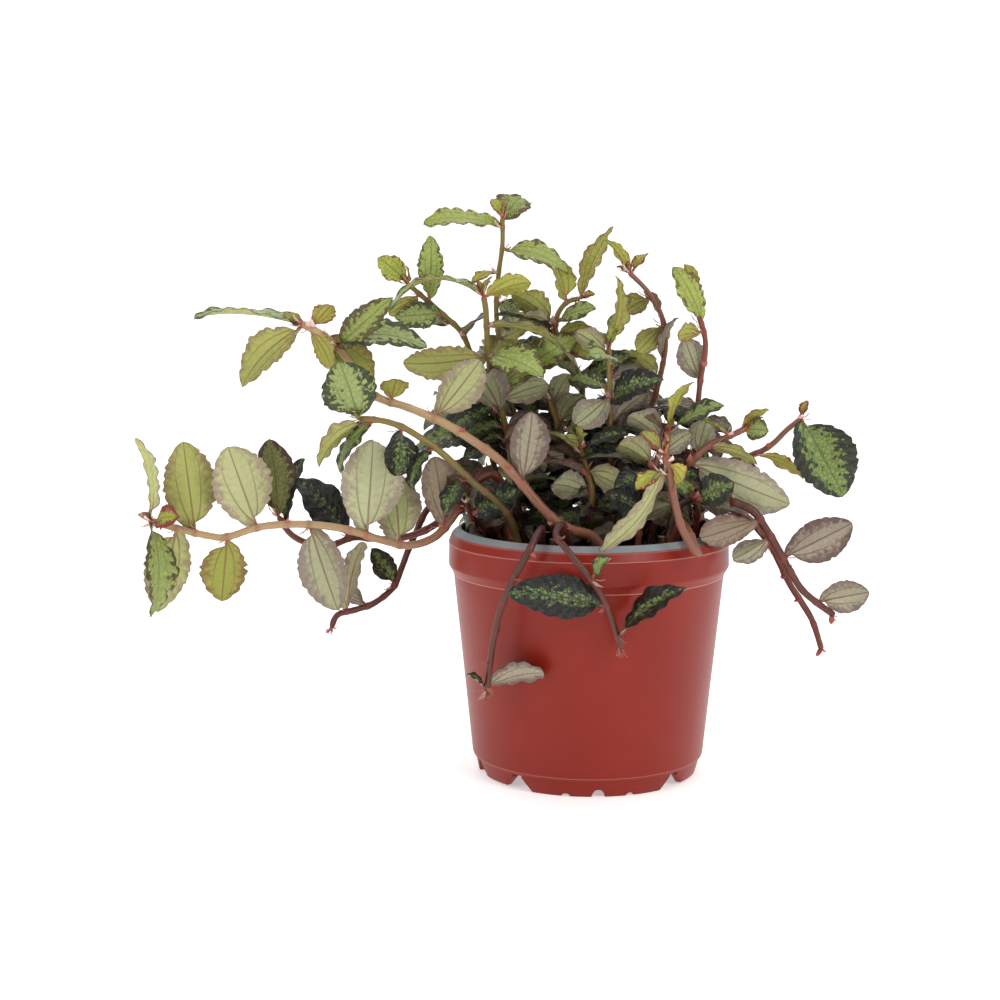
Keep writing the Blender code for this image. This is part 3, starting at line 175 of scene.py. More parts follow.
# Each stem: root on the soil (x, y), then points as the front view shows them
# (x, depth y, height z), all in mm. Each leaf: base x and height, tip x and height,
# how much deeper the tip lies, turn of the upper side (0 to the front, 90 up,
# 180 to the back), width, age from 0 to 1, arch.
stems = [
    dict(
        name="stem_long_left", root=(-34, 4), thick=3.8, tip=2.8, tone="tan",
        route=[
            (-37, 3, 122), (-42, 0, 128), (-50, -5, 123), (-56, -9, 113), (-61, -12, 106), (-66, -14, 101),
            (-73, -15, 98), (-80, -16, 97.5), (-90, -17, 100), (-105, -18, 104.5), (-122, -19, 106.5),
            (-140, -20, 105.5), (-155, -20, 101), (-163, -20, 101.5), (-175, -20, 104.3), (-188, -20, 108),
        ],
        leaves=[
            (-187, 109, -193, 144, 3, 108, 17, 0.55, 0.08), (-186, 109, -176, 110, -9, 30, 11, 0.1, 0.1),
            (-168, 103, -173, 142, 5, 180, 22, 0.45, 0.08), (-142, 105, -154, 140, -2, 182, 25, 0.62, 0.08),
            (-188, 107, -188, 66, -7, 52, 18, 0.42, 0.1), (-177, 103, -185, 69, 8, 134, 19, 0.55, 0.08),
            (-155, 101, -158, 73, -3, 176, 19, 0.3, 0.06), (-119, 106, -108, 69, -3, 184, 20, 0.74, 0.08),
            (-96, 102, -92, 143, -5, 178, 26, 0.68, 0.08), (-81, 98, -84, 129, 16, 170, 20, 0.6, 0.08),
            (-62, 106, -66, 136, -6, 172, 17, 0.85, 0.08),
        ],
    ),
    dict(
        name="stem_left_behind", root=(-38, 15), thick=3.4, tip=2.6, tone="red",
        route=[
            (-46, 17, 114), (-58, 17, 111), (-72, 16, 103), (-86, 15, 100), (-100, 13, 101), (-106, 11, 99),
            (-112, 9, 97), (-121, 8, 98.5), (-128, 8, 102.5), (-133, 8, 110),
        ],
        leaves=[
            (-133, 110, -136, 143, -2, 14, 19, 0.7, 0.08), (-103, 100, -125, 126, -3, 16, 21, 0.95, 0.08),
            (-130, 106, -122, 135, 4, 50, 10, 0.8, 0.08),
        ],
    ),
    dict(
        name="stem_left_low", root=(-42, 24), thick=3.1, tip=2.6, tone="brown",
        route=[
            (-50, 26, 116), (-61, 25, 117), (-69, 24, 113), (-74, 22, 103), (-77.5, 20, 95),
            (-80.5, 18, 87), (-84, 16, 79), (-92, 12, 72.3), (-100, 9, 69.3), (-108, 7, 67), (-111, 6, 61),
        ],
        leaves=[
            (-104, 68, -97, 99, -2, 128, 15, 0.7, 0.06), (-84, 80, -93, 96, -3, 24, 11, 0.75, 0.06),
            (-95, 71, -110, 79, 8, 100, 9, 0.8, 0.1),
        ],
    ),
    dict(
        name="stem_thick_left", root=(6, -34), thick=4.3, tip=2.9, tone="pale",
        route=[
            (2, -34, 101), (-6, -33, 103.7), (-14, -32, 108), (-21, -31, 114.8), (-29.5, -29, 125),
            (-38, -27, 134), (-48, -25, 141.5), (-58, -22, 148), (-67, -19, 152.5), (-78, -16, 157),
            (-90, -14, 161), (-96, -12, 167), (-101, -11, 175), (-111, -11, 186), (-122, -11, 192.5),
        ],
        leaves=[
            (-66, 153, -46, 177, -8, 186, 17, 0.6, 0.08), (-28, 125, -24, 155, -9, 176, 16, 0.9, 0.08),
            (-84, 159, -82, 169, -8, 166, 12, 0.3, 0.05), (-121, 192, -167, 196, -4, 83, 22, 0.5, 0.06),
            (-121, 192, -148, 166, -6, 140, 17, 0.45, 0.12), (-119, 191, -109, 173, -9, 150, 10, 0.3, 0.1),
            (-118, 190, -109, 200, -9, 166, 9, 0.15, 0.08), (-112, 187, -92, 168, -3, 176, 18, 0.35, 0.1),
            (-108, 184, -69, 183, -9, 48, 15, 0.5, 0.14), (-107, 183, -84, 203, 3, 30, 12, 0.35, 0.1),
        ],
    ),
    dict(
        name="stem_left_round_leaf", root=(-30, -16), thick=3.2, tip=2.5, tone="olive",
        route=[
            (-33, -18, 108), (-40, -20, 117), (-50, -22, 125), (-57, -24, 132), (-65, -25, 139),
            (-73, -26, 144.5), (-80, -26, 148.5), (-88, -27, 151), (-98, -27, 152),
        ],
        leaves=[
            (-99, 152, -106, 176, -4, 8, 23, 0.55, 0.08), (-94, 152, -116, 132, -4, 118, 14, 0.5, 0.12),
            (-92, 151, -107, 129, 7, 60, 13, 0.6, 0.1), (-80, 148, -82, 127, 9, 18, 15, 0.9, 0.08),
            (-66, 140, -76, 122, -9, 64, 14, 0.85, 0.1), (-52, 127, -62, 112, -4, 50, 13, 0.9, 0.08),
        ],
    ),
    dict(
        name="stem_upright_olive", root=(-27, 11), thick=3, tip=2.4, tone="olive",
        route=[
            (-30, 12, 112), (-32, 13, 128), (-34, 12, 140), (-37, 8, 154), (-41, 3, 168), (-43, 0, 180),
            (-43.6, -2, 190), (-44, -3, 198), (-45, -3, 204),
        ],
        leaves=[
            (-45, 204, -85, 199, -2, 84, 17, 0.5, 0.24), (-44.5, 203, -25, 210, -3, 140, 12, 0.2, 0.08),
            (-43.6, 191, -3, 171, -5, 98, 16, 0.5, 0.16), (-43, 179, -79, 175, -4, 202, 16, 0.45, 0.08),
            (-40, 165, -4, 187, -5, 30, 14, 0.35, 0.1), (-35, 149, -76, 138, 3, 52, 20, 0.7, 0.1),
            (-38, 158, -60, 146, 10, 52, 13, 0.8, 0.08), (-41, 169, -58, 161, 8, 62, 11, 0.9, 0.08),
        ],
    ),
    dict(
        name="stem_tallest", root=(-20, 22), thick=2.4, tip=1.9, tone="olive",
        route=[
            (-22, 21, 112), (-26, 19, 130), (-31, 17, 150), (-36, 15, 172), (-39.5, 14, 195),
            (-38.7, 13, 212), (-37, 12, 225), (-37, 12, 237),
        ],
        leaves=[
            (-37, 232, -70, 235, -2, 62, 16, 0.3, 0.08), (-37, 236, -29, 245, 13, 30, 17, 0.33, 0.08),
            (-37, 223, -9, 214, -3, 56, 15, 0.35, 0.1), (-38.5, 213, -50, 210, -3, 60, 7, 0.1, 0.08),
            (-39, 203, -32, 191, 14, 40, 14, 0.5, 0.1), (-34, 165, -22, 150, 16, 50, 15, 0.7, 0.1),
        ],
    ),
    dict(
        name="stem_upper_left", root=(-34, 30), thick=2.7, tip=2.2, tone="olive",
        route=[
            (-38, 29, 118), (-42, 26, 140), (-46, 22, 160), (-49.5, 17, 176), (-54, 13, 188),
            (-62, 10, 196), (-70, 8, 203), (-77, 8, 209),
        ],
        leaves=[
            (-77, 209, -89, 220, -4, 26, 11, 0.2, 0.06), (-67, 202, -67, 229, -2, 40, 11, 0.35, 0.08),
            (-72, 204, -85, 196, -7, 206, 10, 0.3, 0.06), (-62, 196, -82, 195, -10, 14, 12, 0.45, 0.08),
            (-58, 192, -92, 186, 8, 70, 14, 0.5, 0.08), (-44, 150, -66, 163, 12, 66, 16, 0.8, 0.1),
        ],
    ),
    dict(
        name="stem_zigzag_middle", root=(-8, 31), thick=2.8, tip=2.1, tone="olive",
        route=[
            (-8, 30, 116), (-6, 28, 132), (-5, 25, 148), (-3, 21, 164), (-8, 18, 176), (-14, 15, 187),
            (-14, 13, 195), (-10, 12, 201), (-4, 12, 203),
        ],
        leaves=[
            (-14, 188, -40, 196, -8, 96, 15, 0.9, 0.08), (-14, 192, -33, 205, -3, 150, 13, 0.4, 0.08),
            (-12, 184, 3, 178, -9, 26, 11, 0.2, 0.06), (-11, 181, -39, 178, 8, 56, 14, 0.75, 0.1),
            (-10, 201, -15, 219, -2, 108, 13, 0.3, 0.08), (-4, 203, 9, 233, -2, 122, 13, 0.3, 0.06),
            (-13, 193, 2, 199, -12, 40, 9, 0.4, 0.06), (-4, 168, 17, 179, -9, 30, 12, 0.7, 0.06),
            (-5, 148, -24, 158, 6, 60, 15, 0.8, 0.1),
        ],
    ),
    dict(
        name="stem_upright_middle", root=(11, -8), thick=2.6, tip=2, tone="olive",
        route=[(10, -8, 112), (9.5, -8, 130), (9, -8, 150), (8.5, -7, 168), (8, -6, 183)],
        leaves=[
            (8, 183, 12, 212, -2, 112, 14, 0.35, 0.08), (8, 182, 18, 203, 8, 70, 11, 0.4, 0.08),
            (8, 180, -6, 189, -7, 156, 10, 0.6, 0.06), (8.5, 170, 26, 165, -5, 164, 13, 0.85, 0.06),
            (9, 161, -6, 149, -8, 196, 14, 0.7, 0.08), (9, 149, 24, 163, -6, 152, 13, 0.9, 0.08),
        ],
    ),
    dict(
        name="stem_pink", root=(22, 16), thick=2.7, tip=2, tone="pink",
        route=[
            (21, 14, 118), (21, 11, 136), (22, 9, 150), (26, 7, 157), (29, 5, 166), (31.5, 4, 178),
            (32, 3, 186), (30, 2, 196), (24, 1, 206), (16, 0, 214),
        ],
        leaves=[
            (16.5, 213, 6, 228, -2, 116, 10, 0.2, 0.06), (17, 213, 24, 222, 3, 60, 7, 0.1, 0.06),
            (26, 203, 14, 197, -6, 160, 10, 0.4, 0.08), (30.5, 194, 23, 206, 6, 112, 9, 0.5, 0.06),
            (31, 192, 20, 180, -5, 184, 10, 0.4, 0.08), (31, 175, 36, 195, -4, 104, 13, 0.8, 0.08),
            (23, 152, 5, 158, 9, 60, 14, 0.7, 0.1),
        ],
    ),
    dict(
        name="stem_upright_right", root=(40, 2), thick=2.6, tip=2, tone="red",
        route=[
            (43, 0, 118), (45, -4, 138), (46, -8, 156), (47, -10, 168), (49, -12, 182), (47.5, -13, 191),
            (44, -14, 200), (41, -14, 209),
        ],
        leaves=[
            (46, 192, 35.5, 216, -4, 36, 12, 0.3, 0.08), (43, 203, 40, 217, 5, 96, 9, 0.2, 0.06),
            (48, 189, 37, 187, -7, 150, 9, 0.3, 0.06), (47, 168, 40, 186, -5, 184, 13, 0.75, 0.08),
        ],
    ),
    dict(
        name="stem_front_right", root=(33, -23), thick=4, tip=3, tone="pink",
        route=[
            (39, -31, 106), (41.5, -38, 105), (43.5, -45, 101.5), (45.6, -49.5, 97), (47, -52, 94),
            (45.5, -54.5, 95.3), (43, -56, 99), (39.5, -57, 106), (37, -58, 115), (35, -58, 124),
            (32.5, -58, 137),
        ],
        leaves=[
            (32.5, 136, 4.5, 95, -3, 128, 12, 0.6, -0.14), (32.5, 137, 22, 146, -3, 60, 10, 0.15, 0.08),
            (33, 134, 40, 125, -4, 150, 9, 0.1, 0.1), (34, 129, 20, 122, -4, 60, 11, 0.12, 0.1),
        ],
    ),
    dict(
        name="stem_right_short", root=(20, -14), thick=2.8, tip=2.3, tone="pink",
        route=[(23, -14, 115), (28, -14, 132), (34, -15, 147)],
        leaves=[
            (34, 147, 43, 168, -3, 110, 11, 0.3, 0.08), (33.5, 146, 24, 153, -5, 76, 9, 0.8, 0.06),
            (34, 147, 57, 158, -6, 62, 13, 0.6, 0.06), (32, 142, 14, 148, 4, 74, 12, 0.85, 0.08),
            (28, 131, 12, 141, -9, 158, 14, 0.6, 0.1), (25, 121, 46, 128, 8, 60, 14, 0.8, 0.1),
        ],
    ),
    dict(
        name="stem_right_tuft", root=(26, -2), thick=3, tip=2.3, tone="pink",
        route=[
            (30, -4, 114), (35, -8, 124), (43, -11, 133), (52, -14, 141), (61, -16, 145), (67, -16, 148),
        ],
        leaves=[
            (60, 145, 44, 153, -6, 70, 10, 0.3, 0.06), (64, 146, 76, 156, 3, 116, 9, 0.2, 0.06),
            (66, 147, 76, 147, -8, 14, 10, 0.4, 0.06), (43, 132, 86, 115, -8, 190, 21, 0.72, 0.06),
            (51, 140, 72, 133, -9, 122, 10, 0.5, 0.06), (46, 136, 50, 152, 7, 160, 13, 0.7, 0.08),
            (36, 125, 52, 122, 10, 64, 14, 0.8, 0.08),
        ],
    ),
    dict(
        name="stem_right_arch", root=(27, 24), thick=2.8, tip=2.3, tone="pink",
        route=[
            (34, 21, 114), (46, 16, 125), (58, 10, 133), (71, 5, 137), (78, 3, 141), (84, 2, 147),
            (90, 1, 152),
        ],
        leaves=[
            (90, 152, 109, 118.5, -6, 12, 26, 0.74, 0.06), (71, 137, 92, 127, -4, 118, 10, 0.1, 0.06),
            (60, 133, 70, 119, 14, 44, 15, 0.7, 0.08), (46, 125, 48, 146, 16, 70, 14, 0.7, 0.1),
        ],
    ),
    dict(
        name="stem_right_trailing", root=(33, -14), thick=4, tip=2.8, tone="brown",
        route=[
            (38, -14, 114), (50, -16, 119), (62, -18, 116), (70, -19, 112.5), (75, -20, 106), (80, -21, 98),
            (84, -21, 91), (88, -21, 84), (92.5, -20, 77.5), (99, -19, 72), (106, -18, 67),
        ],
        leaves=[
            (84, 92, 113, 107, -4, 182, 18, 0.96, 0.06), (98, 73, 121, 77, -3, 176, 14, 0.86, 0.06),
            (73, 109, 47, 100, -9, 140, 13, 0.86, 0.04), (78, 101, 62, 91, -5, 200, 11, 0.8, 0.06),
        ],
    ),
    dict(
        name="stem_right_low", root=(36, 14), thick=3.5, tip=2.6, tone="red",
        route=[
            (44, 12, 112), (57, 10, 114), (67, 8, 110), (73, 7, 104), (79, 5, 96), (83, 4, 88), (87, 3, 80),
            (92, 2, 72.5), (97, 1, 64), (101, 0, 52),
        ],
        leaves=[(66, 110, 58, 99, 16, 60, 13, 0.7, 0.1)],
    ),
    dict(
        name="stem_hanging_left", root=(-21, -40), thick=3, tip=2.5, tone="brown",
        route=[
            (-20, -50, 104), (-22.5, -57, 101), (-26, -61, 94), (-30, -61, 87), (-34.5, -59, 78),
            (-38.5, -56, 67), (-41.5, -54, 52), (-43, -53, 40), (-44, -52, 33),
        ],
        leaves=[(-43.5, 35, -19, 42, -4, 116, 15, 0.9, 0.08), (-43.8, 34, -52, 41, -3, 80, 9, 0.7, 0.08)],
    ),
    dict(
        name="stem_hanging_middle", root=(-8, -42), thick=3, tip=2.5, tone="brown",
        route=[
            (-11, -51, 106), (-14, -58, 102), (-10.5, -63, 97), (-5, -65, 90), (0, -66, 84), (5, -66, 76.5),
            (9.5, -65, 67), (12.5, -64, 58), (14.5, -63, 52),
        ],
        leaves=[
            (8, 70, -34, 77, -4, 30, 20, 0.95, 0.06), (1, 82, 9, 92, -4, 60, 9, 0.6, 0.08),
            (13, 57, 42, 79, -3, 62, 17, 0.93, 0.08),
        ],
    ),
    dict(
        name="stem_rim_left", root=(-45, 2), thick=2.8, tip=2.2, tone="brown",
        route=[(-46, -2, 104), (-50, -8, 110), (-53, -14, 116)],
        leaves=[
            (-46, 104, -36, 117, -10, 160, 15, 0.9, 0.08), (-52, 114, -60, 127, -6, 60, 12, 0.9, 0.08),
            (-50, 110, -44, 124, -12, 170, 12, 0.8, 0.08),
        ],
    ),
    dict(
        name="stem_centre_short", root=(-8, 20), thick=3, tip=2.3, tone="olive",
        route=[(-8.5, 19, 116), (-9.5, 17, 128), (-10, 14, 139), (-12.5, 12, 147), (-17, 10, 160)],
        leaves=[
            (-12, 146, 2, 151, -5, 60, 12, 0.6, 0.06), (-17, 160, -28, 168, -4, 100, 12, 0.6, 0.08),
            (-10, 138, 12, 134, -12, 66, 14, 0.5, 0.06), (-10, 131, -24, 139, -5, 60, 12, 0.8, 0.08),
            (-9, 122, -26, 113, 6, 40, 14, 0.9, 0.08), (-16, 157, -9, 171, 4, 140, 12, 0.7, 0.08),
        ],
    ),
    dict(
        name="stem_centre_low", root=(1, -12), thick=2.6, tip=2.2, tone="olive",
        route=[(1, -13, 110), (1.5, -14, 120), (-1, -16, 131), (-4, -18, 140)],
        leaves=[
            (-4, 139, 16, 146, -3, 66, 14, 0.9, 0.06), (-1, 130, 16, 121, -9, 150, 14, 0.6, 0.08),
            (-3, 137, -18, 147, -3, 100, 11, 0.5, 0.06), (1, 120, -16, 124, -9, 160, 13, 0.7, 0.08),
            (1, 112, -14, 107, -12, 50, 12, 0.9, 0.06),
        ],
    ),
    dict(
        name="stem_rim_right", root=(44, -6), thick=2.6, tip=2.1, tone="brown",
        route=[(46, -10, 106), (47, -15, 113), (44, -20, 119)],
        leaves=[
            (46, 107, 20, 117, -12, 176, 17, 0.6, 0.06), (46, 117, 62, 124, -5, 60, 14, 0.8, 0.08),
            (44, 119, 30, 129, -4, 90, 13, 0.7, 0.08),
        ],
    ),
]

# Stems at the back, by rule: compass turn from +X, how far out, peak and end height
backStems = [
    dict(name="stem_back_right", turn=66, root=33, reach=84, peak=120, end=66),
    dict(name="stem_back_middle", turn=84, root=34, reach=92, peak=124, end=46),
    dict(name="stem_back_left", turn=101, root=35, reach=88, peak=122, end=78),
    dict(name="stem_back_left_low", turn=116, root=32, reach=82, peak=117, end=58),
    dict(name="stem_back_upright", turn=78, root=26, reach=46, peak=148, end=154),
    dict(name="stem_back_lean", turn=124, root=30, reach=64, peak=138, end=136),
]
backForm = {
    "steps": 7, "sway": 6, "start": 98, "topAt": 0.77, "dropFrom": 0.5,
    "leafStep": 14 * mm, "length": 32, "width": 18, "bareHeight": 8 * mm, "barePoints": 12,
    "sweeps": (0.3, 0.8), "rises": (-0.3, 0.4), "sizes": (0.7, 1.05), "leans": (65, 115),
    "ages": (0.4, 0.9), "seed": 7,
}

backLook = {"thick": 3, "tip": 2.2, "tone": "olive"}

# Upright stems whose lower parts carry the leaves of the dense middle
coreStems = (
    "stem_upright_olive", "stem_tallest", "stem_upper_left", "stem_zigzag_middle",
    "stem_upright_middle", "stem_pink", "stem_upright_right", "stem_centre_short",
    "stem_right_short", "stem_right_tuft", "stem_right_arch", "stem_back_upright", "stem_back_lean",
)
coreForm = {
    "leafStep": 12 * mm, "length": 34, "width": 19, "firstPoint": 6, "margin": 12, "left": -62,
    "right": 46, "turns": (-30, 210), "rises": (-0.25, 0.7), "sizes": (0.75, 1.05),
    "leans": (40, 130), "ages": (0.7, 1), "tipsLeft": -84, "tipsRight": 52,
    "top": 166, "slope": 0.5, "flatFrom": -40,
}

# Smaller leaves that fill the middle further, where only looks need them
fillForm = {
    "leafStep": 4.2 * mm, "length": 30, "width": 17, "firstPoint": 3, "margin": 4, "left": -78,
    "right": 64, "turns": (-80, 260), "rises": (-0.35, 0.8), "sizes": (0.55, 1),
    "leans": (25, 155), "ages": (0.62, 1), "tipsLeft": -92, "tipsRight": 70,
    "top": 196, "slope": 0.62, "flatFrom": -48, "seed": 31, "youngAbove": 160 * mm, "younger": 0.3,
}
fillStems = coreStems + ("stem_centre_low", "stem_rim_left", "stem_rim_right")

# Old stems cut short: x, y on the soil, radius and height above it
cutStubs = [(14, 44, 2.6, 7), (-39, 38, 2, 6), (-15, -2, 2, 5), (31, -4, 1.8, 5)]


def seenPoint(x, y, z):  # the point at depth y that the camera shows at x, z on the pot's upright plane
    reach = (y * mm - eyePoint.y) / -eyePoint.y
    plane = Vector((x * mm, 0, z * mm))
    return eyePoint + (plane - eyePoint) * reach


def seenPlace(point):
    reach = -eyePoint.y / (point.y - eyePoint.y)
    place = eyePoint + (point - eyePoint) * reach
    return place.x / mm, place.z / mm


def smoothRoute(points, steps):
    padded = [points[0] * 2 - points[1]] + points + [points[-1] * 2 - points[-2]]
    padded[0] = points[0] - Vector((0, 0, stemForm["rootLead"]))
    curve = [points[0]]
    for a, b, c, d in zip(padded, padded[1:], padded[2:], padded[3:]):
        for step in range(1, steps + 1):
            t = step / steps
            bend = (a * 2 - b * 5 + c * 4 - d) * t * t + (b * 3 - a - c * 3 + d) * t ** 3
            curve.append(b + (c - a) * (0.5 * t) + bend * 0.5)
    return curve


def soilTop(x, y):
    short, middle, long = soilForm["waves"]
    waves = math.sin(x / short) * math.cos(y / middle) + math.sin((x + y) / long)
    return soilForm["level"] + soilForm["bump"] * waves / 2


def ringFaces(rings, sides):  # faces of a closed shell: a first point, rings of points, a last point
    faces, last = [], 1 + rings * sides
    for side in range(sides):
        after = (side + 1) % sides
        faces.append((0, 1 + after, 1 + side))
        for low in range(1, last - sides, sides):
            high = low + sides
            faces.append((low + side, low + after, high + after, high + side))
        faces.append((last - sides + side, last - sides + after, last))
    return faces


def tubeFaces(rings, sides):  # faces of a tube of rings, closed at both ends
    faces = [tuple(reversed(range(sides)))]
    for low in range(0, (rings - 1) * sides, sides):
        high = low + sides
        for side in range(sides):
            after = (side + 1) % sides
            faces.append((low + side, low + after, high + after, high + side))
    faces.append(tuple(range((rings - 1) * sides, rings * sides)))
    return faces


def turnedShell(profile, sides):  # a closed shell turned about Z, its first and last points on the axis
    points = [Vector((0, 0, profile[0][1]))]
    for radius, level in profile[1:-1]:
        for side in range(sides):
            turn = math.tau * side / sides
            points.append(Vector((radius * math.cos(turn), radius * math.sin(turn), level)))
    points.append(Vector((0, 0, profile[-1][1])))
    return points, ringFaces(len(profile) - 2, sides)


def potProfile():
    form = potForm
    wall, heel = form["wall"], form["heelRounding"]
    outer = [
        (0, form["footHeight"]), (form["heelRadius"], form["footHeight"]),
        (form["stepRadius"] - heel, form["footHeight"] + heel), (form["stepRadius"], form["stepHeight"]),
        (form["ledgeRadius"], form["ledgeHeight"]), (form["rimRadius"], form["bandHeight"]),
        (form["rimRadius"], form["creaseHeight"]), (form["lipRadius"], form["lipHeight"]),
        (form["mouthRadius"], form["height"]),
    ]
    inner = [
        (form["mouthRadius"] - wall / 2, form["height"] - wall),
        (form["lipRadius"] - wall, form["lipHeight"] - wall),
        (form["ledgeRadius"] - wall, form["ledgeHeight"]),
        (form["stepRadius"] - wall, form["footHeight"] + wall), (0, form["footHeight"] + wall),
    ]
    return outer, inner


def tubeShell(curve, radii, sides):
    points, count = [], len(curve)
    axis = Vector((1, 0, 0))
    for index, (centre, radius) in enumerate(zip(curve, radii)):
        along = (curve[min(index + 1, count - 1)] - curve[max(index - 1, 0)]).normalized()
        axis = (axis - along * axis.dot(along)).normalized()
        other = along.cross(axis)
        for side in range(sides):
            turn = math.tau * side / sides
            points.append(centre + (axis * math.cos(turn) + other * math.sin(turn)) * radius)
    return points, tubeFaces(count, sides)


class Leaf:  # one leaf's frame, from foot to tip, and the plain blade that the frame's solid has
    def __init__(self, base, tip, turn, width, arch, stemRadius):
        self.base = base
        span = tip - base
        self.length = span.length
        self.midrib = span.normalized()
        toEye = (eyePoint - base).normalized()
        facing = toEye - self.midrib * toEye.dot(self.midrib)
        facing.normalize()
        side = self.midrib.cross(facing)
        if side.z < -0.2 or (side.z < 0.2 and side.x < 0):
            side = -side
        angle = math.radians(turn)
        self.normal = facing * math.cos(angle) + side * math.sin(angle)
        self.across = self.normal.cross(self.midrib)
        self.half = width * mm / 2
        self.arch = arch
        self.foot = min((stemRadius + leafForm["stalkReach"]) / self.length, leafForm["stalkShare"])
        self.phase = (tip.x + tip.z) / mm

    def halfWidth(self, u, side):
        if u <= self.foot:
            return leafForm["stalkHalf"]
        t = (u - self.foot) / (1 - self.foot)
        slip = leafForm["slip"] if side > 0 else 0
        wide = 1 + leafForm["slip"] if side > 0 else 1 - leafForm["slip"]
        place = min(max((t - slip) / (1 - slip), 0), 1)
        blade = self.half * wide * math.sin(math.pi * place ** 0.9) ** 0.6
        return max(blade, leafForm["stalkHalf"] * (1 - t))

    def point(self, u, side, swell):
        out = self.halfWidth(u, side) * swell * abs(side)
        wave = math.sin(leafForm["waveTurns"] * u + self.phase + side) * min(out / self.half, 1)
        height = self.arch * self.length * 4 * u * (1 - u) + leafForm["fold"] * out
        height += leafForm["wave"] * self.length * wave
        spot = self.base + self.midrib * (self.length * u)
        return spot + self.across * (out * side) + self.normal * height

    def plainBlade(self, extra=0):
        rows = 8 if self.length > leafForm["long"] else (6 if self.length > leafForm["middle"] else 4)
        levels = [0, self.foot] + [
            self.foot + (1 - self.foot) * (row - 1) / (rows - 1) for row in range(2, rows)
        ]
        left, right, middle = [], [], []
        sheet = []
        for row, u in enumerate(levels):
            swell = 1 + (leafForm["scallop"] if row % 2 else -leafForm["scallop"]) * (row > 1)
            swell += extra / self.half
            left.append(len(sheet))
            sheet.append(self.point(u, -1, swell))
            right.append(len(sheet))
            sheet.append(self.point(u, 1, swell))
            if row % 2 == 0 and row:
                middle.append(len(sheet))
                sheet.append(self.point(u, 0, 1))
        tipIndex = len(sheet)
        sheet.append(self.base + self.midrib * (self.length + extra))
        for line in (left, right, middle):
            line.append(tipIndex)
        first = middle[0]
        faces = [(left[0], right[0], first), (left[0], first, left[1]), (right[0], right[1], first)]
        faces += [(left[1], first, left[2]), (right[1], right[2], first)]
        for pair in range(1, rows // 2):
            a, b = middle[pair - 1], middle[pair]
            l0, l1, l2 = left[2 * pair : 2 * pair + 3]
            r0, r1, r2 = right[2 * pair : 2 * pair + 3]
            faces += [(a, l1, l0), (a, b, l1), (a, r0, r1), (a, r1, b)]
            if l2 != b:
                faces += [(b, l2, l1), (b, r1, r2)]
        rim = left[:-1] + [tipIndex] + right[-2::-1]
        count = len(sheet)
        lift = self.normal * (leafForm["thickness"] / 2 + extra)
        points = [point + lift for point in sheet] + [point - lift for point in sheet]
        shell = list(faces)
        shell += [tuple(index + count for index in reversed(face)) for face in faces]
        for a, b in zip(rim, rim[1:] + rim[:1]):
            shell.append((a, b, b + count, a + count))
        return points, shell


def boxOf(points):
    return [[pick(point[axis] for point in points) for axis in range(3)] for pick in (min, max)]


class Space:  # what already stands, so that each new leaf is bent clear of it
    def __init__(self):
        self.things = []

    def add(self, owner, points, faces, base=None):
        self.things.append((owner, base, *boxOf(points), BVHTree.FromPolygons(points, faces)))

    def isClear(self, owner, points, faces, base):
        low, high = boxOf(points)
        tree = BVHTree.FromPolygons(points, faces)
        for name, foot, otherLow, otherHigh, other in self.things:
            if any(low[axis] > otherHigh[axis] or high[axis] < otherLow[axis] for axis in range(3)):
                continue
            if name == owner and (foot is None or (foot - base).length < leafForm["siblingReach"]):
                continue
            if tree.overlap(other):
                return False
        return True


def nearestOnCurve(curve, x, z):
    def distance(index):
        seenX, seenZ = seenPlace(curve[index])
        return (seenX - x) ** 2 + (seenZ - z) ** 2
    return min(range(2, len(curve)), key=distance)


def placeLeaf(space, owner, base, radius, entry):  # the first near pose that is clear of the rest
    tipX, tipZ, deeper, turn, width, arch = entry
    depth = base.y / mm
    seenX, seenZ = seenPlace(base)
    for size in leafForm["sizes"]:
        for shift in leafForm["shifts"]:
            for swing in leafForm["swings"]:
                x = seenX + (tipX - seenX) * size
                z = seenZ + (tipZ - seenZ) * size
                tip = seenPoint(x, depth + deeper * size + shift, z)
                leaf = Leaf(base, tip, turn + swing, width * (1 + size) / 2, arch, radius)
                if space.isClear(owner, *leaf.plainBlade(leafForm["clearance"]), base):
                    space.add(owner, *leaf.plainBlade(), base)
                    return leaf
    return None


def stemCurve(rootX, rootY, route):
    ground = soilTop(rootX, rootY)
    start = Vector((rootX, rootY, ground + stemForm["rootRise"]))
    foot = Vector((rootX, rootY, ground - soilForm["holeDepth"]))
    return [foot] + smoothRoute([start] + route, stemForm["routeSteps"])


def backRoute(stem, chance):
    form = backForm
    turn = math.radians(stem["turn"])
    out = Vector((math.cos(turn), math.sin(turn), 0))
    side = Vector((-out.y, out.x, 0))
    sway = chance.uniform(-form["sway"], form["sway"])
    route = []
    for step in range(1, form["steps"] + 1):
        t = step / form["steps"]
        reach = stem["root"] + (stem["reach"] - stem["root"]) * t ** 0.8
        rise = math.sin(math.pi / 2 * min(t / form["topAt"], 1))
        drop = (max(t - form["dropFrom"], 0) / (1 - form["dropFrom"])) ** 1.5
        height = form["start"] + (stem["peak"] - form["start"]) * rise
        height += (stem["end"] - stem["peak"]) * drop
        route.append((out * reach + side * (sway * t)) * mm + Vector((0, 0, height * mm)))
    return out * (stem["root"] * mm), route


def crownHeight(x, form):
    return form["top"] - form["slope"] * (max(x, 0) + max(form["flatFrom"] - x, 0))


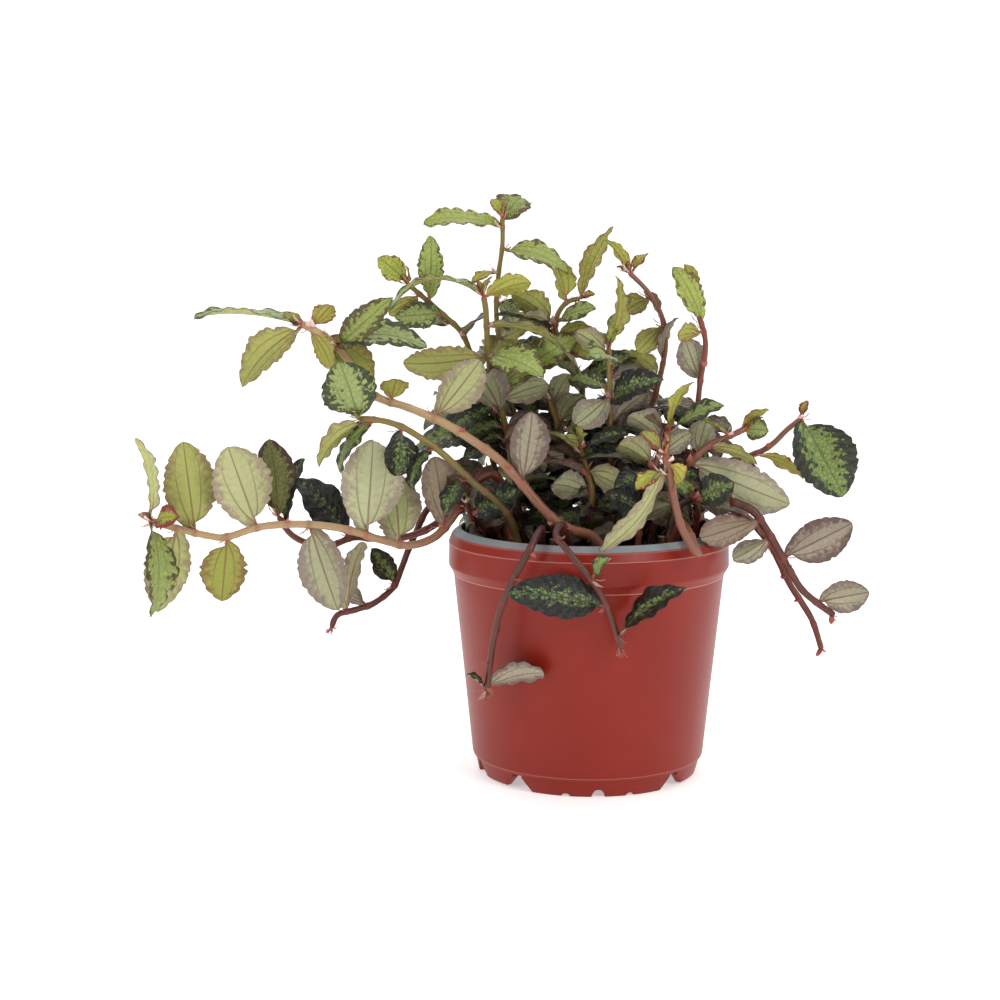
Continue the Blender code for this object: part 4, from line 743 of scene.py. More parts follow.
def addLeaf(space, stem, index, tip, size, form, chance, leaves):  # at a point of the stem, if there is room
    base = stem["curve"][index]
    lean = chance.uniform(*form["leans"])
    entry = (*seenPlace(tip), (tip.y - base.y) / mm, lean, form["width"] * size, leafForm["arch"])
    leaf = placeLeaf(space, stem["name"], base, stem["radii"][index], entry)
    if leaf:
        leaf.age = chance.uniform(*form["ages"])
        leaves.append(leaf)


def growCoreLeaves(space, stem, chance, form):  # older leaves behind the listed ones
    curve, leaves, walked = stem["curve"], [], 0
    for index in range(form["firstPoint"], len(curve) - 3):
        base = curve[index]
        walked += (base - curve[index - 1]).length
        seenX, seenZ = seenPlace(base)
        inside = form["left"] < seenX < form["right"] and seenZ < crownHeight(seenX, form) - form["margin"]
        if walked < form["leafStep"] or not inside:
            continue
        walked = 0
        turn = math.radians(chance.uniform(*form["turns"]))
        reach = Vector((math.cos(turn), math.sin(turn), chance.uniform(*form["rises"])))
        size = chance.uniform(*form["sizes"])
        tip = base + reach.normalized() * (form["length"] * size * mm)
        tipX, tipZ = seenPlace(tip)
        if tipZ > crownHeight(tipX, form) or not form["tipsLeft"] < tipX < form["tipsRight"]:
            continue
        addLeaf(space, stem, index, tip, size, form, chance, leaves)
    return leaves


def growBackLeaves(space, stem, chance):  # two ranks along a back stem, and one leaf at its tip
    form = backForm
    curve, leaves = stem["curve"], []
    walked, side = 0, 1
    for index in range(2, len(curve)):
        walked += (curve[index] - curve[index - 1]).length
        atTip = index == len(curve) - 1
        bare = curve[index].z < soilForm["level"] + form["bareHeight"] and index < form["barePoints"]
        if not atTip and (walked < form["leafStep"] or bare):
            continue
        walked, side = 0, -side
        base = curve[index]
        along = (base - curve[index - 1]).normalized()
        out = along.cross(Vector((0, 0, 1))).normalized() * side
        reach = along if atTip else out + along * chance.uniform(*form["sweeps"])
        reach = (reach.normalized() + Vector((0, 0, chance.uniform(*form["rises"])))).normalized()
        size = chance.uniform(*form["sizes"])
        tip = base + reach * (form["length"] * size * mm)
        addLeaf(space, stem, index, tip, size, form, chance, leaves)
    return leaves


def growStems(space):  # every stem's curve, radius along it and leaves, as the frame's solids have them
    grown = []
    for stem in stems:
        rootX, rootY = (value * mm for value in stem["root"])
        curve = stemCurve(rootX, rootY, [seenPoint(*point) for point in stem["route"]])
        grown.append(dict(stem, curve=curve))
    chance = random.Random(backForm["seed"])
    for stem in backStems:
        root, route = backRoute(stem, chance)
        curve = stemCurve(root.x, root.y, route)
        grown.append(dict(stem, curve=curve, **backLook))
    for stem in grown:
        count = len(stem["curve"]) - 1
        thick, thin = stem["thick"] * mm / 2, stem["tip"] * mm / 2
        stem["radii"] = [thick + (thin - thick) * index / count for index in range(count + 1)]
        wide = [radius + leafForm["clearance"] for radius in stem["radii"]]
        space.add(stem["name"], *tubeShell(stem["curve"], wide, stemForm["cadSides"]))
    for stem, plan in zip(grown, stems):
        stem["leaves"] = []
        for baseX, baseZ, tipX, tipZ, deeper, turn, width, age, arch in plan["leaves"]:
            index = nearestOnCurve(stem["curve"], baseX, baseZ)
            base, radius = stem["curve"][index], stem["radii"][index]
            leaf = placeLeaf(space, stem["name"], base, radius, (tipX, tipZ, deeper, turn, width, arch))
            if leaf:
                leaf.age = age
                stem["leaves"].append(leaf)
    for stem in grown[len(stems) :]:
        stem["leaves"] = growBackLeaves(space, stem, chance)
    for stem in grown:
        if stem["name"] in coreStems:
            stem["leaves"] += growCoreLeaves(space, stem, chance, coreForm)
    return grown


def growFill(space, grown):
    chance = random.Random(fillForm["seed"])
    for stem in grown:
        if stem["name"] in fillStems:
            extra = growCoreLeaves(space, stem, chance, fillForm)
            for leaf in extra:
                if leaf.base.z > fillForm["youngAbove"]:
                    leaf.age -= fillForm["younger"]
            stem["leaves"] += extra


class Shell:  # one piece's points, faces and material numbers, with the two vectors its shaders read
    def __init__(self):
        self.points, self.faces, self.kinds, self.place, self.life = [], [], [], [], []
        self.count = 0

    def add(self, points, faces, kinds, place, life):
        points = np.clip([tuple(point) for point in points], *cadBox)
        self.faces += [tuple(int(index) + self.count for index in face) for face in faces]
        self.kinds += [kinds] * len(faces) if isinstance(kinds, int) else list(kinds)
        self.points.append(points)
        self.place.append(np.broadcast_to(place, points.shape))
        self.life.append(np.broadcast_to(life, points.shape))
        self.count += len(points)

    def piece(self, name, materials, node, slot, sharp=60):
        mesh = bpy.data.meshes.new(name)
        mesh.from_pydata(np.concatenate(self.points).tolist(), [], self.faces)
        mesh.polygons.foreach_set("material_index", self.kinds)
        for label, rows in (("place", self.place), ("life", self.life)):
            attribute = mesh.attributes.new(label, "FLOAT_VECTOR", "POINT")
            attribute.data.foreach_set("vector", np.concatenate(rows).astype(np.float32).ravel())
        for material in materials:
            mesh.materials.append(material)
        mesh.shade_smooth()
        mesh.set_sharp_from_angle(angle=math.radians(sharp))
        standFor(addObject(name, mesh), node)


def standFor(piece, node):  # a piece of the plant or its pot, in the place of one node of the frame
    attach(piece, "root")
    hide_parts(node)


# Blade detail, in mm: grid, margin teeth, veins, quilting between them, thickness
bladeForm = {
    "rowLength": 0.95, "rows": (14, 46), "bunch": 0.06, "stalkHalf": 0.55, "tipHalf": 0.12,
    "lateral": 0.5, "lateralRise": 4.5, "lateralRange": (0.14, 0.56), "columns": (0.45, 0.8),
    "toothLength": 3.7, "teeth": (5, 11), "toothPower": 0.6, "toothDepth": 0.21, "toothMiddle": 0.66,
    "cells": 9, "cellLean": 1.5, "cellPower": 1.2, "cellShift": 0.45, "lobe": 0.055, "lobeReach": 0.13,
    "swell": 0.75, "swellTurns": 5.5, "curl": 0.035, "curlFrom": 0.6,
    "midribSink": 0.28, "midribReach": 0.55, "lateralSink": 0.16, "lateralReach": 0.5,
    "quilt": 0.46, "quiltReach": 1.1, "calmHalf": 7, "foldRound": 0.8, "ruffle": 0.6,
    "edgeThick": 0.26, "middleThick": 0.2, "ridge": 0.3, "ridgeReach": 0.45,
    "lateralRidge": 0.12, "lateralRidgeReach": 0.4, "toothDrift": (0.22, 0.9), "toothUneven": (0.5, 2.3),
    "toothYouth": 1.3, "swellHalf": 9, "swellLag": 1.7, "foldRange": (0.7, 0.6), "ridgeFade": 0.7,
    "petiole": (0.85, 0.5), "petioleSides": 8, "petioleReach": 1.25, "petioleSag": 0.25, "petioleSteps": 5,
}
kindOf = {"upper": 0, "under": 1, "stem": 2, "petiole": 3, "stipule": 4, "root": 5}


def bladeHalf(leaf, t, side):  # half width in mm, at t from the blade's foot to its tip
    slip = leafForm["slip"] if side > 0 else 0
    place = np.clip((t - slip) / (1 - slip), 0, 1)
    blade = leaf.half / mm * (1 + side * leafForm["slip"]) * np.sin(np.pi * place ** 0.9) ** 0.6
    return np.maximum(blade, bladeForm["stalkHalf"] * (1 - t) + bladeForm["tipHalf"])


def bump(distance, reach):  # 1 on a vein, falling to 0 within its reach
    return np.exp(-((distance / reach) ** 2))


def addBlade(shell, leaf, seed):
    form = bladeForm
    long, half = leaf.length / mm, leaf.half / mm
    rows = int(np.clip(long / form["rowLength"], *form["rows"]))
    s = np.linspace(0, 1, rows + 1)[:, None]
    t = s - form["bunch"] * np.sin(math.tau * s)
    u = leaf.foot + (1 - leaf.foot) * t
    sides = []
    for side in (-1, 1):
        width = bladeHalf(leaf, t, side)
        lateral = form["lateral"] * (1 - np.exp(-form["lateralRise"] * t)) * half / width
        lateral = np.clip(lateral, *form["lateralRange"])
        outer = [lateral + (1 - lateral) * share for share in (0, *form["columns"], 1)]
        v = np.hstack([lateral / 2] + outer)
        flat = np.zeros_like(v)
        sides.append((v, width + flat, lateral + flat, side + flat))
    middle = [np.zeros_like(t), sides[1][1][:, :1], sides[1][2][:, :1], np.zeros_like(t)]
    v, width, lateral, side = (
        np.hstack([left[:, ::-1], centre, right]) for left, centre, right in zip(sides[0], middle, sides[1])
    )
    toMidrib, toLateral = v * width, (v - lateral) * width
    cell = form["cells"] * t - form["cellLean"] * v ** form["cellPower"]
    cell = cell + form["cellShift"] * (side > 0) * np.clip(4 * v, 0, 1)
    teeth = np.clip(round(long / form["toothLength"]), *form["teeth"])
    own = math.tau * seed
    drift, driftTurns = form["toothDrift"]
    place = t * teeth + 0.5 * (side > 0) + drift * np.sin(driftTurns * t * teeth + own + 2 * side)
    tooth = np.abs(np.sin(np.pi * place)) ** form["toothPower"]
    uneven, unevenTurns = form["toothUneven"]
    depth = form["toothDepth"] * (form["toothYouth"] - leaf.age)
    depth = depth * (1 + uneven * np.sin(unevenTurns * t * teeth + own - side))
    out = toMidrib * (1 + depth * (tooth - form["toothMiddle"]) * v ** 4)
    lobe = form["lobe"] * long * v * bump(t, form["lobeReach"]) * (side < 0)
    relief = form["quilt"] * np.sin(np.pi * cell) ** 2
    relief = relief * (1 - bump(toMidrib, form["quiltReach"])) * (1 - v ** 6)
    relief -= form["midribSink"] * bump(toMidrib, form["midribReach"])
    relief -= form["lateralSink"] * bump(toLateral, form["lateralReach"])
    wave = np.sin(leafForm["waveTurns"] * u + leaf.phase + side) * np.minimum(out / half, 1)
    leastFold, moreFold = form["foldRange"]
    fold = leafForm["fold"] * (leastFold + moreFold * seed)
    calm = min(1, half / form["calmHalf"])
    height = leaf.arch * long * 4 * u * (1 - u) + fold * out ** 2 / (out + form["foldRound"])
    height = height + leafForm["wave"] * long * wave + relief * calm
    height += form["ruffle"] * np.sin(np.pi * place + 2 * side) * v ** 3 * calm
    swell = np.sin(form["swellTurns"] * t + own + form["swellLag"] * side) * v ** 1.5
    height += form["swell"] * half / form["swellHalf"] * swell
    curled = np.clip(t - form["curlFrom"], 0, 1) / (1 - form["curlFrom"])
    height -= form["curl"] * long * seed * curled ** 2
    thick = form["edgeThick"] + form["middleThick"] * (1 - v ** 3)
    ridge = form["ridge"] * bump(toMidrib, form["ridgeReach"]) * (1 - form["ridgeFade"] * t)
    ridge = ridge + form["lateralRidge"] * bump(toLateral, form["lateralRidgeReach"])
    base, midrib, across, normal = (
        np.array(vector) for vector in (leaf.base, leaf.midrib, leaf.across, leaf.normal)
    )
    flat = base + midrib * ((u * long - lobe)[..., None] * mm) + across * ((out * side)[..., None] * mm)
    top = flat + normal * ((height + thick / 2)[..., None] * mm)
    under = flat + normal * ((height - thick / 2 - ridge)[..., None] * mm)
    total = v.size
    index = np.arange(total).reshape(v.shape)
    quads = np.stack([index[:-1, :-1], index[1:, :-1], index[1:, 1:], index[:-1, 1:]], axis=-1)
    quads = quads.reshape(-1, 4)
    edge = np.concatenate([index[:, 0], index[-1, 1:], index[-2::-1, -1], index[0, -2:0:-1]])
    after = np.roll(edge, -1)
    rim = np.stack([after, edge, edge + total, after + total], axis=-1)
    faces = np.concatenate([quads, quads[:, ::-1] + total, rim])
    above, below = [kindOf["upper"]], [kindOf["under"]]
    kinds = above * len(quads) + below * len(quads) + above * len(rim)
    place = np.stack([toMidrib, toLateral, cell], axis=-1).reshape(-1, 3)
    life = np.stack([v, v * 0 + leaf.age, v * 0 + seed], axis=-1).reshape(-1, 3)
    points = np.concatenate([top.reshape(-1, 3), under.reshape(-1, 3)])
    shell.add(points, faces, kinds, np.tile(place, (2, 1)), np.tile(life, (2, 1)))
    reach, steps, sag = leaf.foot * form["petioleReach"], form["petioleSteps"], form["petioleSag"] * mm
    thick, thin = form["petiole"]
    stalk, radii = [], []
    for step in range(steps + 1):
        stalk.append(leaf.point(reach * step / steps, 0, 1) - leaf.normal * (sag * (step / steps) ** 2))
        radii.append((thick + (thin - thick) * step / steps) * mm)
    points, faces = tubeShell(stalk, radii, form["petioleSides"])
    shell.add(points, faces, kindOf["petiole"], (0, 0, 0), (0, leaf.age, seed))


# Small growth on the stems, in mm: scales at the leaf bases, tips, root hairs
growthForm = {
    "scaleLength": (3.8, 6.8), "scaleWidth": 2.7, "scaleThick": 0.4, "tipScale": (3.5, 6),
    "tipLeaf": (5, 9), "tipLeaves": 3, "tipScales": 4, "tipTurns": (20, 150), "tipWidth": 0.5,
    "tipArch": 0.12, "rootRadius": 0.14, "rootLength": (2.5, 7), "rootShare": 0.35, "rootsEach": 2,
    "rootSteps": 5, "rootBend": 0.4, "rootSag": 0.25, "tuftRoots": 6, "tuftScales": 12, "tuftWidth": 0.9,
    "tuftLength": (2.5, 5), "bluntScales": 3, "stubShare": 0.75, "stubLength": (3.4, 5.5), "seed": 23,
}
hairyStems = (
    "stem_long_left", "stem_left_low", "stem_hanging_left", "stem_hanging_middle", "stem_right_low",
)
tuftStems = ("stem_hanging_left", "stem_hanging_middle", "stem_left_low")
bluntStems = ("stem_right_low", "stem_right_trailing")


def anyAcross(along):
    other = Vector((0, 0, 1)) if abs(along.z) < 0.8 else Vector((1, 0, 0))
    return along.cross(other).normalized()


def addScale(shell, base, direction, length, age, chance, wide=growthForm["scaleWidth"]):  # small, pointed
    across = anyAcross(direction)
    normal = direction.cross(across)
    width, thick = wide * mm, growthForm["scaleThick"] * mm
    points = [base]
    for share, swell in ((0.2, 0.8), (0.5, 1), (0.8, 0.55)):
        rise = 0.15 * length * math.sin(math.pi * share)
        centre = base + direction * (length * share) + normal * rise
        for side, up in ((1, 0), (0, 1), (-1, 0), (0, -1)):
            points.append(centre + across * (side * width * swell / 2) + normal * (up * thick * swell / 2))
    points.append(base + direction * length)
    shell.add(points, ringFaces(3, 4), kindOf["stipule"], (0, 0, 0), (0, age, chance.random()))


def addRoot(shell, base, direction, length, chance):  # a thin wavy aerial root
    form = growthForm
    steps, radius = form["rootSteps"], form["rootRadius"] * mm
    across = anyAcross(direction)
    bend = chance.uniform(-form["rootBend"], form["rootBend"])
    curve, radii = [], []
    for step in range(steps + 1):
        share = step / steps
        spot = base + direction * (length * step / steps) + across * (bend * length * share ** 2)
        curve.append(spot + Vector((0, 0, -form["rootSag"] * length * share ** 2)))
        radii.append(radius * (1.3 - share))
    points, faces = tubeShell(curve, radii, 5)
    shell.add(points, faces, kindOf["root"], (0, 0, 0), (0, 0.5, chance.random()))


def insideBox(point):
    low, high = cadBox
    return all(low[axis] <= point[axis] <= high[axis] for axis in range(3))


def spread(chance, low, high):  # any way round, and between low and high in rise
    return Vector((chance.uniform(-1, 1), chance.uniform(-1, 1), chance.uniform(low, high)))


def addTip(shell, end, along, chance, age):  # unopened leaves and scales at a growing tip
    form = growthForm
    for _ in range(form["tipLeaves"]):
        reach = (along * 1.1 + spread(chance, -0.2, 1)).normalized()
        tip = end + reach * (chance.uniform(*form["tipLeaf"]) * mm)
        if insideBox(tip):
            width = (tip - end).length / mm * form["tipWidth"]
            leaf = Leaf(end, tip, chance.uniform(*form["tipTurns"]), width, form["tipArch"], 0)
            leaf.age = age
            addBlade(shell, leaf, chance.random())
    for _ in range(form["tipScales"]):
        reach = (along + spread(chance, -0.4, 1) * 0.9).normalized()
        length = chance.uniform(*form["tipScale"]) * mm
        if insideBox(end + reach * length):
            addScale(shell, end, reach, length, 0.2, chance)


def addStem(shell, stem, chance):
    form = stemForm
    coarse = np.array([tuple(point) for point in stem["curve"]])
    walk = np.concatenate([[0], np.cumsum(np.linalg.norm(np.diff(coarse, axis=0), axis=1))])
    whole = walk[-1]
    s = np.linspace(0, whole, int(whole / form["step"]) + 1)
    centres = np.stack([np.interp(s, walk, coarse[:, axis]) for axis in range(3)], axis=1)
    radius = np.interp(s, walk, stem["radii"])
    away = [np.linalg.norm(coarse - np.array(leaf.base), axis=1) for leaf in stem["leaves"]]
    bases = [walk[np.argmin(distances)] for distances in away]
    scars = list(np.arange(form["scarFrom"], whole - form["scarRoom"], form["scarStep"]))
    scars = [scar for scar in scars if all(abs(scar - base) > form["scarRoom"] for base in bases)]
    near = np.zeros_like(s)
    for base in bases + scars:
        knot = 1 if base in bases else form["scarKnot"]
        near = np.maximum(near, bump(s - base, form["knotReach"]) * knot)
    radius = radius * (1 + form["knot"] * near)
    swells = [noise.noise(Vector(centre) * form["unevenScale"]) for centre in centres]
    radius *= 1 + form["uneven"] * np.array(swells)
    blunt = stem["name"] in bluntStems
    taperShare, narrowing = form["bluntEnd" if blunt else "pointedEnd"]
    taper = form["taper"] * taperShare
    ending = np.clip((s - whole + taper) / taper, 0, 1)
    radius *= np.sqrt(1 - narrowing * ending ** 2)
    seed = chance.random()
    points, faces = tubeShell([Vector(centre) for centre in centres], radius.tolist(), form["sides"])
    sides = form["sides"]
    turns = math.tau * np.arange(sides) / sides
    turned = [np.tile(np.cos(turns), len(s)), np.tile(np.sin(turns), len(s))]
    place = np.stack([*turned, np.repeat(s / mm, sides)], axis=-1)
    shares = [np.repeat(s / whole, sides), np.repeat(near, sides)]
    life = np.stack([*shares, np.full(len(s) * sides, seed)], axis=-1)
    shell.add(points, faces, kindOf["stem"], place, life)
    growth = growthForm

    def spotAt(walked):
        return Vector([float(np.interp(walked, s, centres[:, axis])) for axis in range(3)])

    for leaf in stem["leaves"]:
        addBlade(shell, leaf, chance.random())
        steps = range(len(stem["curve"]) - 1)
        index = min(steps, key=lambda step: (stem["curve"][step] - leaf.base).length)
        along = (stem["curve"][index + 1] - stem["curve"][index]).normalized()
        for side in (1, -1):
            out = (leaf.midrib + leaf.across * (0.8 * side)).normalized()
            reach = (along * 0.9 + out * 0.8 + leaf.normal * chance.uniform(-0.3, 0.3)).normalized()
            start = leaf.base + out * (stem["radii"][index] * 0.7)
            length = chance.uniform(*growth["scaleLength"]) * mm
            if insideBox(start + reach * length):
                addScale(shell, start, reach, length, leaf.age, chance)
    end = Vector(centres[-1])
    along = (Vector(centres[-1]) - Vector(centres[-4])).normalized()
    if stem["name"] in tuftStems:
        for _ in range(growth["tuftRoots"]):
            reach = (along * 0.6 + spread(chance, -1, 0.2)).normalized()
            length = chance.uniform(*growth["tuftLength"]) * mm
            addRoot(shell, end - along * (0.5 * mm), reach, length, chance)
        for _ in range(growth["tuftScales"]):
            reach = (along * 0.9 + spread(chance, -1, 1)).normalized()
            length = chance.uniform(*growth["tuftLength"]) * mm
            start = end - along * (chance.random() * 2 * mm)
            addScale(shell, start, reach, length, 0.8, chance, growth["tuftWidth"])
    elif blunt:
        for _ in range(growth["bluntScales"]):
            reach = (along + spread(chance, -1, 1)).normalized()
            length = chance.uniform(*growth["scaleLength"]) * mm
            addScale(shell, end - along * mm, reach, length, 1, chance)
    else:
        age = min(leaf.age for leaf in stem["leaves"][:3])
        addTip(shell, end, along, chance, age * 0.6)
    for scar in scars:  # what is left of fallen leaves: short dry stubs and scales
        if chance.random() < growth["stubShare"]:
            reach = Vector((chance.uniform(-1, 1), chance.uniform(-1, 0.3), chance.uniform(-1, 1)))
            length = chance.uniform(*growth["stubLength"]) * mm
            addScale(shell, spotAt(scar), reach.normalized(), length, 0.9, chance)
    if stem["name"] in hairyStems:
        for base in list(bases) + scars:
            if chance.random() < growth["rootShare"]:
                for _ in range(growth["rootsEach"]):
                    reach = spread(chance, -1, 0.3).normalized()
                    length = chance.uniform(*growth["rootLength"]) * mm
                    addRoot(shell, spotAt(base), reach, length, chance)


# Leaf blade, living plant tissue under a thin wax: satin above, duller and felt-like below.
# Young leaves are green almost to the edge. Old ones are dark, with a pale feathered middle.
upperLook = {
    "shader": {"Roughness": 0.35, "IOR": 1.45, "Subsurface Weight": 0.12, "Subsurface Scale": 0.6 * mm,
               "Subsurface Radius": (0.6, 1, 0.25), "Specular IOR Level": 0.42},
    "pale": [(0.1, "#A2B03A"), (0.3, "#94A64A"), (0.5, "#9BAA6A"), (0.7, "#7F9448"), (0.95, "#6E824C")],
    "dark": [(0.1, "#86262A"), (0.3, "#5E4A2C"), (0.5, "#3A4026"), (0.7, "#24261A"), (0.95, "#151113")],
    "vein": [(0.1, "#8A6A40"), (0.4, "#6A7040"), (0.7, "#4E5A3C"), (1, "#3A3E34")],
    "limits": (0.9, 0.24), "own": 0.35, "jag": 0.26, "jagPower": 1.2, "patch": 1.9, "soft": 0.1,
    "net": (0.2, 0.85), "veinWidths": (0.6, 0.5), "veinMix": 0.6, "veinAndShadeMix": 0.32, "veinAndShadeReach": 0.7,
    "budEdge": 0.5, "rust": 0.6,
    "bump": 0.75,
}
underLook = {
    "shader": {"Roughness": 0.6, "IOR": 1.45, "Subsurface Weight": 0.12, "Subsurface Scale": 0.6 * mm,
               "Subsurface Radius": (0.6, 1, 0.25), "Specular IOR Level": 0.35},
    "pale": [(0.1, "#ABB04E"), (0.3, "#A2A84E"), (0.5, "#ABB066"), (0.68, "#B0B48A"), (0.95, "#9C9280")],
    "dark": [(0.1, "#96503E"), (0.3, "#8E7044"), (0.5, "#9C8A66"), (0.7, "#9A8D80"), (0.95, "#68564E")],
    "vein": [(0.1, "#9C5A44"), (0.4, "#845840"), (0.7, "#74503F"), (1, "#5E403A")],
    "limits": (0.95, 0.5), "own": 0.3, "jag": 0.1, "jagPower": 1, "patch": 1.3, "soft": 0.26,
    "net": (0.1, 0.16), "veinWidths": (0.66, 0.54), "veinMix": 0.66, "veinAndShadeMix": 0.15, "veinAndShadeReach": 0.6,
    "budEdge": 0.25, "rust": 0.45,
    "bump": 0.7,
}
tissue = {"patchMm": 2.4, "warp": 1.6, "netMm": 1.9, "grainMm": 0.35, "veinAndShadeFrom": (0.08, 0.45)}


def bladeMaterial(name, look):
    material, tree, coordinates = newMaterial(name, look["shader"])
    toMidrib, toLateral, cell = readVector(tree, "place")
    edge, age, seed = readVector(tree, "life")
    patch = addNode(
        tree, "TexNoise", {"Scale": 1000 / tissue["patchMm"], "Detail": 3, "Vector": coordinates}
    )
    net = addNode(
        tree, "TexVoronoi", {"Scale": 1000 / tissue["netMm"], "Vector": coordinates},
        feature="DISTANCE_TO_EDGE",
    )
    grain = addNode(
        tree, "TexNoise", {"Scale": 1000 / tissue["grainMm"], "Detail": 1, "Vector": coordinates}
    )
    bent = addNode(tree, "Math", {0: patch, 1: tissue["warp"], 2: cell}, operation="MULTIPLY_ADD")
    between = addNode(tree, "Math", {0: bent, 1: 0.5}, operation="PINGPONG")
    # Where the pale middle ends: further in for old leaves, and along the side veins
    young, old = look["limits"]
    limit = addNode(tree, "MapRange", {0: age, 1: 0.1, 2: 0.95, 3: young, 4: old})
    bud = addNode(tree, "MapRange", {0: age, 1: 0.06, 2: 0.2, 3: -look["budEdge"], 4: 0})
    aged = addNode(tree, "Math", {0: limit, 1: bud}, operation="ADD")
    ownLimit = addNode(tree, "Math", {0: seed, 1: look["own"], 2: aged}, operation="MULTIPLY_ADD")
    doubled = addNode(tree, "Math", {0: between, 1: 2}, operation="MULTIPLY")
    feather = addNode(tree, "Math", {0: doubled, 1: look["jagPower"]}, operation="POWER")
    reach = addNode(tree, "Math", {0: feather, 1: look["jag"], 2: ownLimit}, operation="MULTIPLY_ADD")
    ragged = addNode(tree, "Math", {0: patch, 1: look["patch"], 2: edge}, operation="MULTIPLY_ADD")
    past = addNode(tree, "Math", {0: ragged, 1: reach}, operation="SUBTRACT")
    middle = (look["own"] + look["jag"] * 0.8) / 2 - look["patch"] / 2
    soft = look["soft"]
    darkShare = addNode(
        tree, "MapRange", {0: past, 1: -middle - soft, 2: -middle + soft}, interpolation_type="SMOOTHSTEP"
    )
    netLine = addNode(
        tree, "MapRange", {0: net, 1: 0.03, 2: 0.2, 3: 1, 4: 0}, interpolation_type="SMOOTHSTEP"
    )
    netYoung, netOld = look["net"]
    netShare = addNode(tree, "MapRange", {0: age, 1: 0.6, 2: 0.95, 3: netYoung, 4: netOld})
    netDark = addNode(tree, "Math", {0: netLine, 1: netShare}, operation="MULTIPLY")
    darkness = addNode(tree, "Math", {0: darkShare, 1: netDark}, operation="MAXIMUM")
    pale = addNode(tree, "ValToRGB", {0: age}, stops=look["pale"])
    dark = addNode(tree, "ValToRGB", {0: age}, stops=look["dark"])
    veinColour = addNode(tree, "ValToRGB", {0: age}, stops=look["vein"])
    colour = addNode(tree, "Mix", {0: darkness, 6: pale, 7: dark}, data_type="RGBA")
    # Veins: the midrib and one on each side of it, thinner towards the tip, then the fine ones, whose colour
    # is spread wide over each quilted cell as painted shade of the quilting
    share = addNode(tree, "Math", {0: edge, 1: bladeForm["cellLean"], 2: cell}, operation="MULTIPLY_ADD")
    thin = addNode(tree, "MapRange", {0: share, 1: 0, 2: bladeForm["cells"], 3: 1, 4: 0.4})
    wide, narrow = look["veinWidths"]
    fromMidrib = addNode(tree, "Math", {0: toMidrib, 1: thin}, operation="DIVIDE")
    midrib = addNode(
        tree, "MapRange", {0: fromMidrib, 1: wide * 0.4, 2: wide, 3: 1, 4: 0},
        interpolation_type="SMOOTHSTEP",
    )
    aside = addNode(tree, "Math", {0: toLateral}, operation="ABSOLUTE")
    fromLateral = addNode(tree, "Math", {0: aside, 1: thin}, operation="DIVIDE")
    lateral = addNode(
        tree, "MapRange", {0: fromLateral, 1: narrow * 0.4, 2: narrow, 3: 1, 4: 0},
        interpolation_type="SMOOTHSTEP",
    )
    faint = addNode(tree, "Math", {0: lateral, 1: thin}, operation="MULTIPLY")
    veins = addNode(tree, "Math", {0: midrib, 1: faint}, operation="MAXIMUM")
    # The fine veins' colour fades out over most of each cell, darker towards its sunken edges: partly vein
    # colour, partly painted shade of the quilting
    line = addNode(
        tree, "MapRange", {0: doubled, 1: 0.02, 2: look["veinAndShadeReach"], 3: 1, 4: 0},
        interpolation_type="SMOOTHSTEP",
    )
    start, full = tissue["veinAndShadeFrom"]
    outer = addNode(
        tree, "MapRange", {0: edge, 1: start, 2: full, 3: 0.25 * look["veinAndShadeMix"], 4: look["veinAndShadeMix"]}
    )
    fineVeinAndQuiltShade = addNode(tree, "Math", {0: line, 1: outer}, operation="MULTIPLY")
    veinShare = addNode(tree, "Math", {0: veins, 1: look["veinMix"]}, operation="MULTIPLY")
    allVeins = addNode(tree, "Math", {0: fineVeinAndQuiltShade, 1: veinShare}, operation="MAXIMUM")
    colour = addNode(tree, "Mix", {0: allVeins, 6: colour, 7: veinColour}, data_type="RGBA")
    # Some of the old leaves turn rusty before they fall
    aging = addNode(tree, "MapRange", {0: age, 1: 0.6, 2: 0.75})
    chosen = addNode(tree, "MapRange", {0: seed, 1: 0.8, 2: 0.86, 4: look["rust"]})
    rusty = addNode(tree, "Math", {0: aging, 1: chosen}, operation="MULTIPLY")
    colour = addNode(tree, "Mix", {0: rusty, 6: colour, 7: srgb("#5E3428")}, data_type="RGBA")
    value = addNode(tree, "MapRange", {0: seed, 3: 0.84, 4: 1.14})
    hue = addNode(tree, "MapRange", {0: patch, 1: 0.25, 2: 0.75, 3: 0.478, 4: 0.514})
    tinted = addNode(tree, "HueSaturation", {"Hue": hue, "Value": value, "Color": colour})
    # Raised quilts between the veins, and a fine grain
    quilt = addNode(tree, "Math", {0: veins, 1: -0.8, 2: between}, operation="MULTIPLY_ADD")
    relief = addNode(tree, "Math", {0: grain, 1: 0.3, 2: quilt}, operation="MULTIPLY_ADD")
    relief = addNode(tree, "Math", {0: netLine, 1: -0.25, 2: relief}, operation="MULTIPLY_ADD")
    gloss = look["shader"]["Roughness"]
    rough = addNode(tree, "MapRange", {0: grain, 3: gloss - 0.06, 4: gloss + 0.12})
    finishSurface(tree, tinted, relief, look["bump"], 0.4, rough)
    return material


# Stem, fleshy skin under a thin wax: long streaks, redder or paler bands at the nodes
stemLook = {
    "tan": ("#703C2C", "#AC8E68", "#8C4432"), "pale": ("#82503A", "#B89A72", "#94563E"),
    "red": ("#5A261E", "#703A2C", "#8E3A2C"),
    "brown": ("#3E1B18", "#5C2F25", "#7C352B"), "olive": ("#5C4A22", "#7A6A2E", "#84553A"),
    "pink": ("#6A3A2A", "#805442", "#944A3A"),
}
streakForm = {"band": 0.55, "streakMm": 1.2, "stretch": 0.06, "speckMm": 0.5}


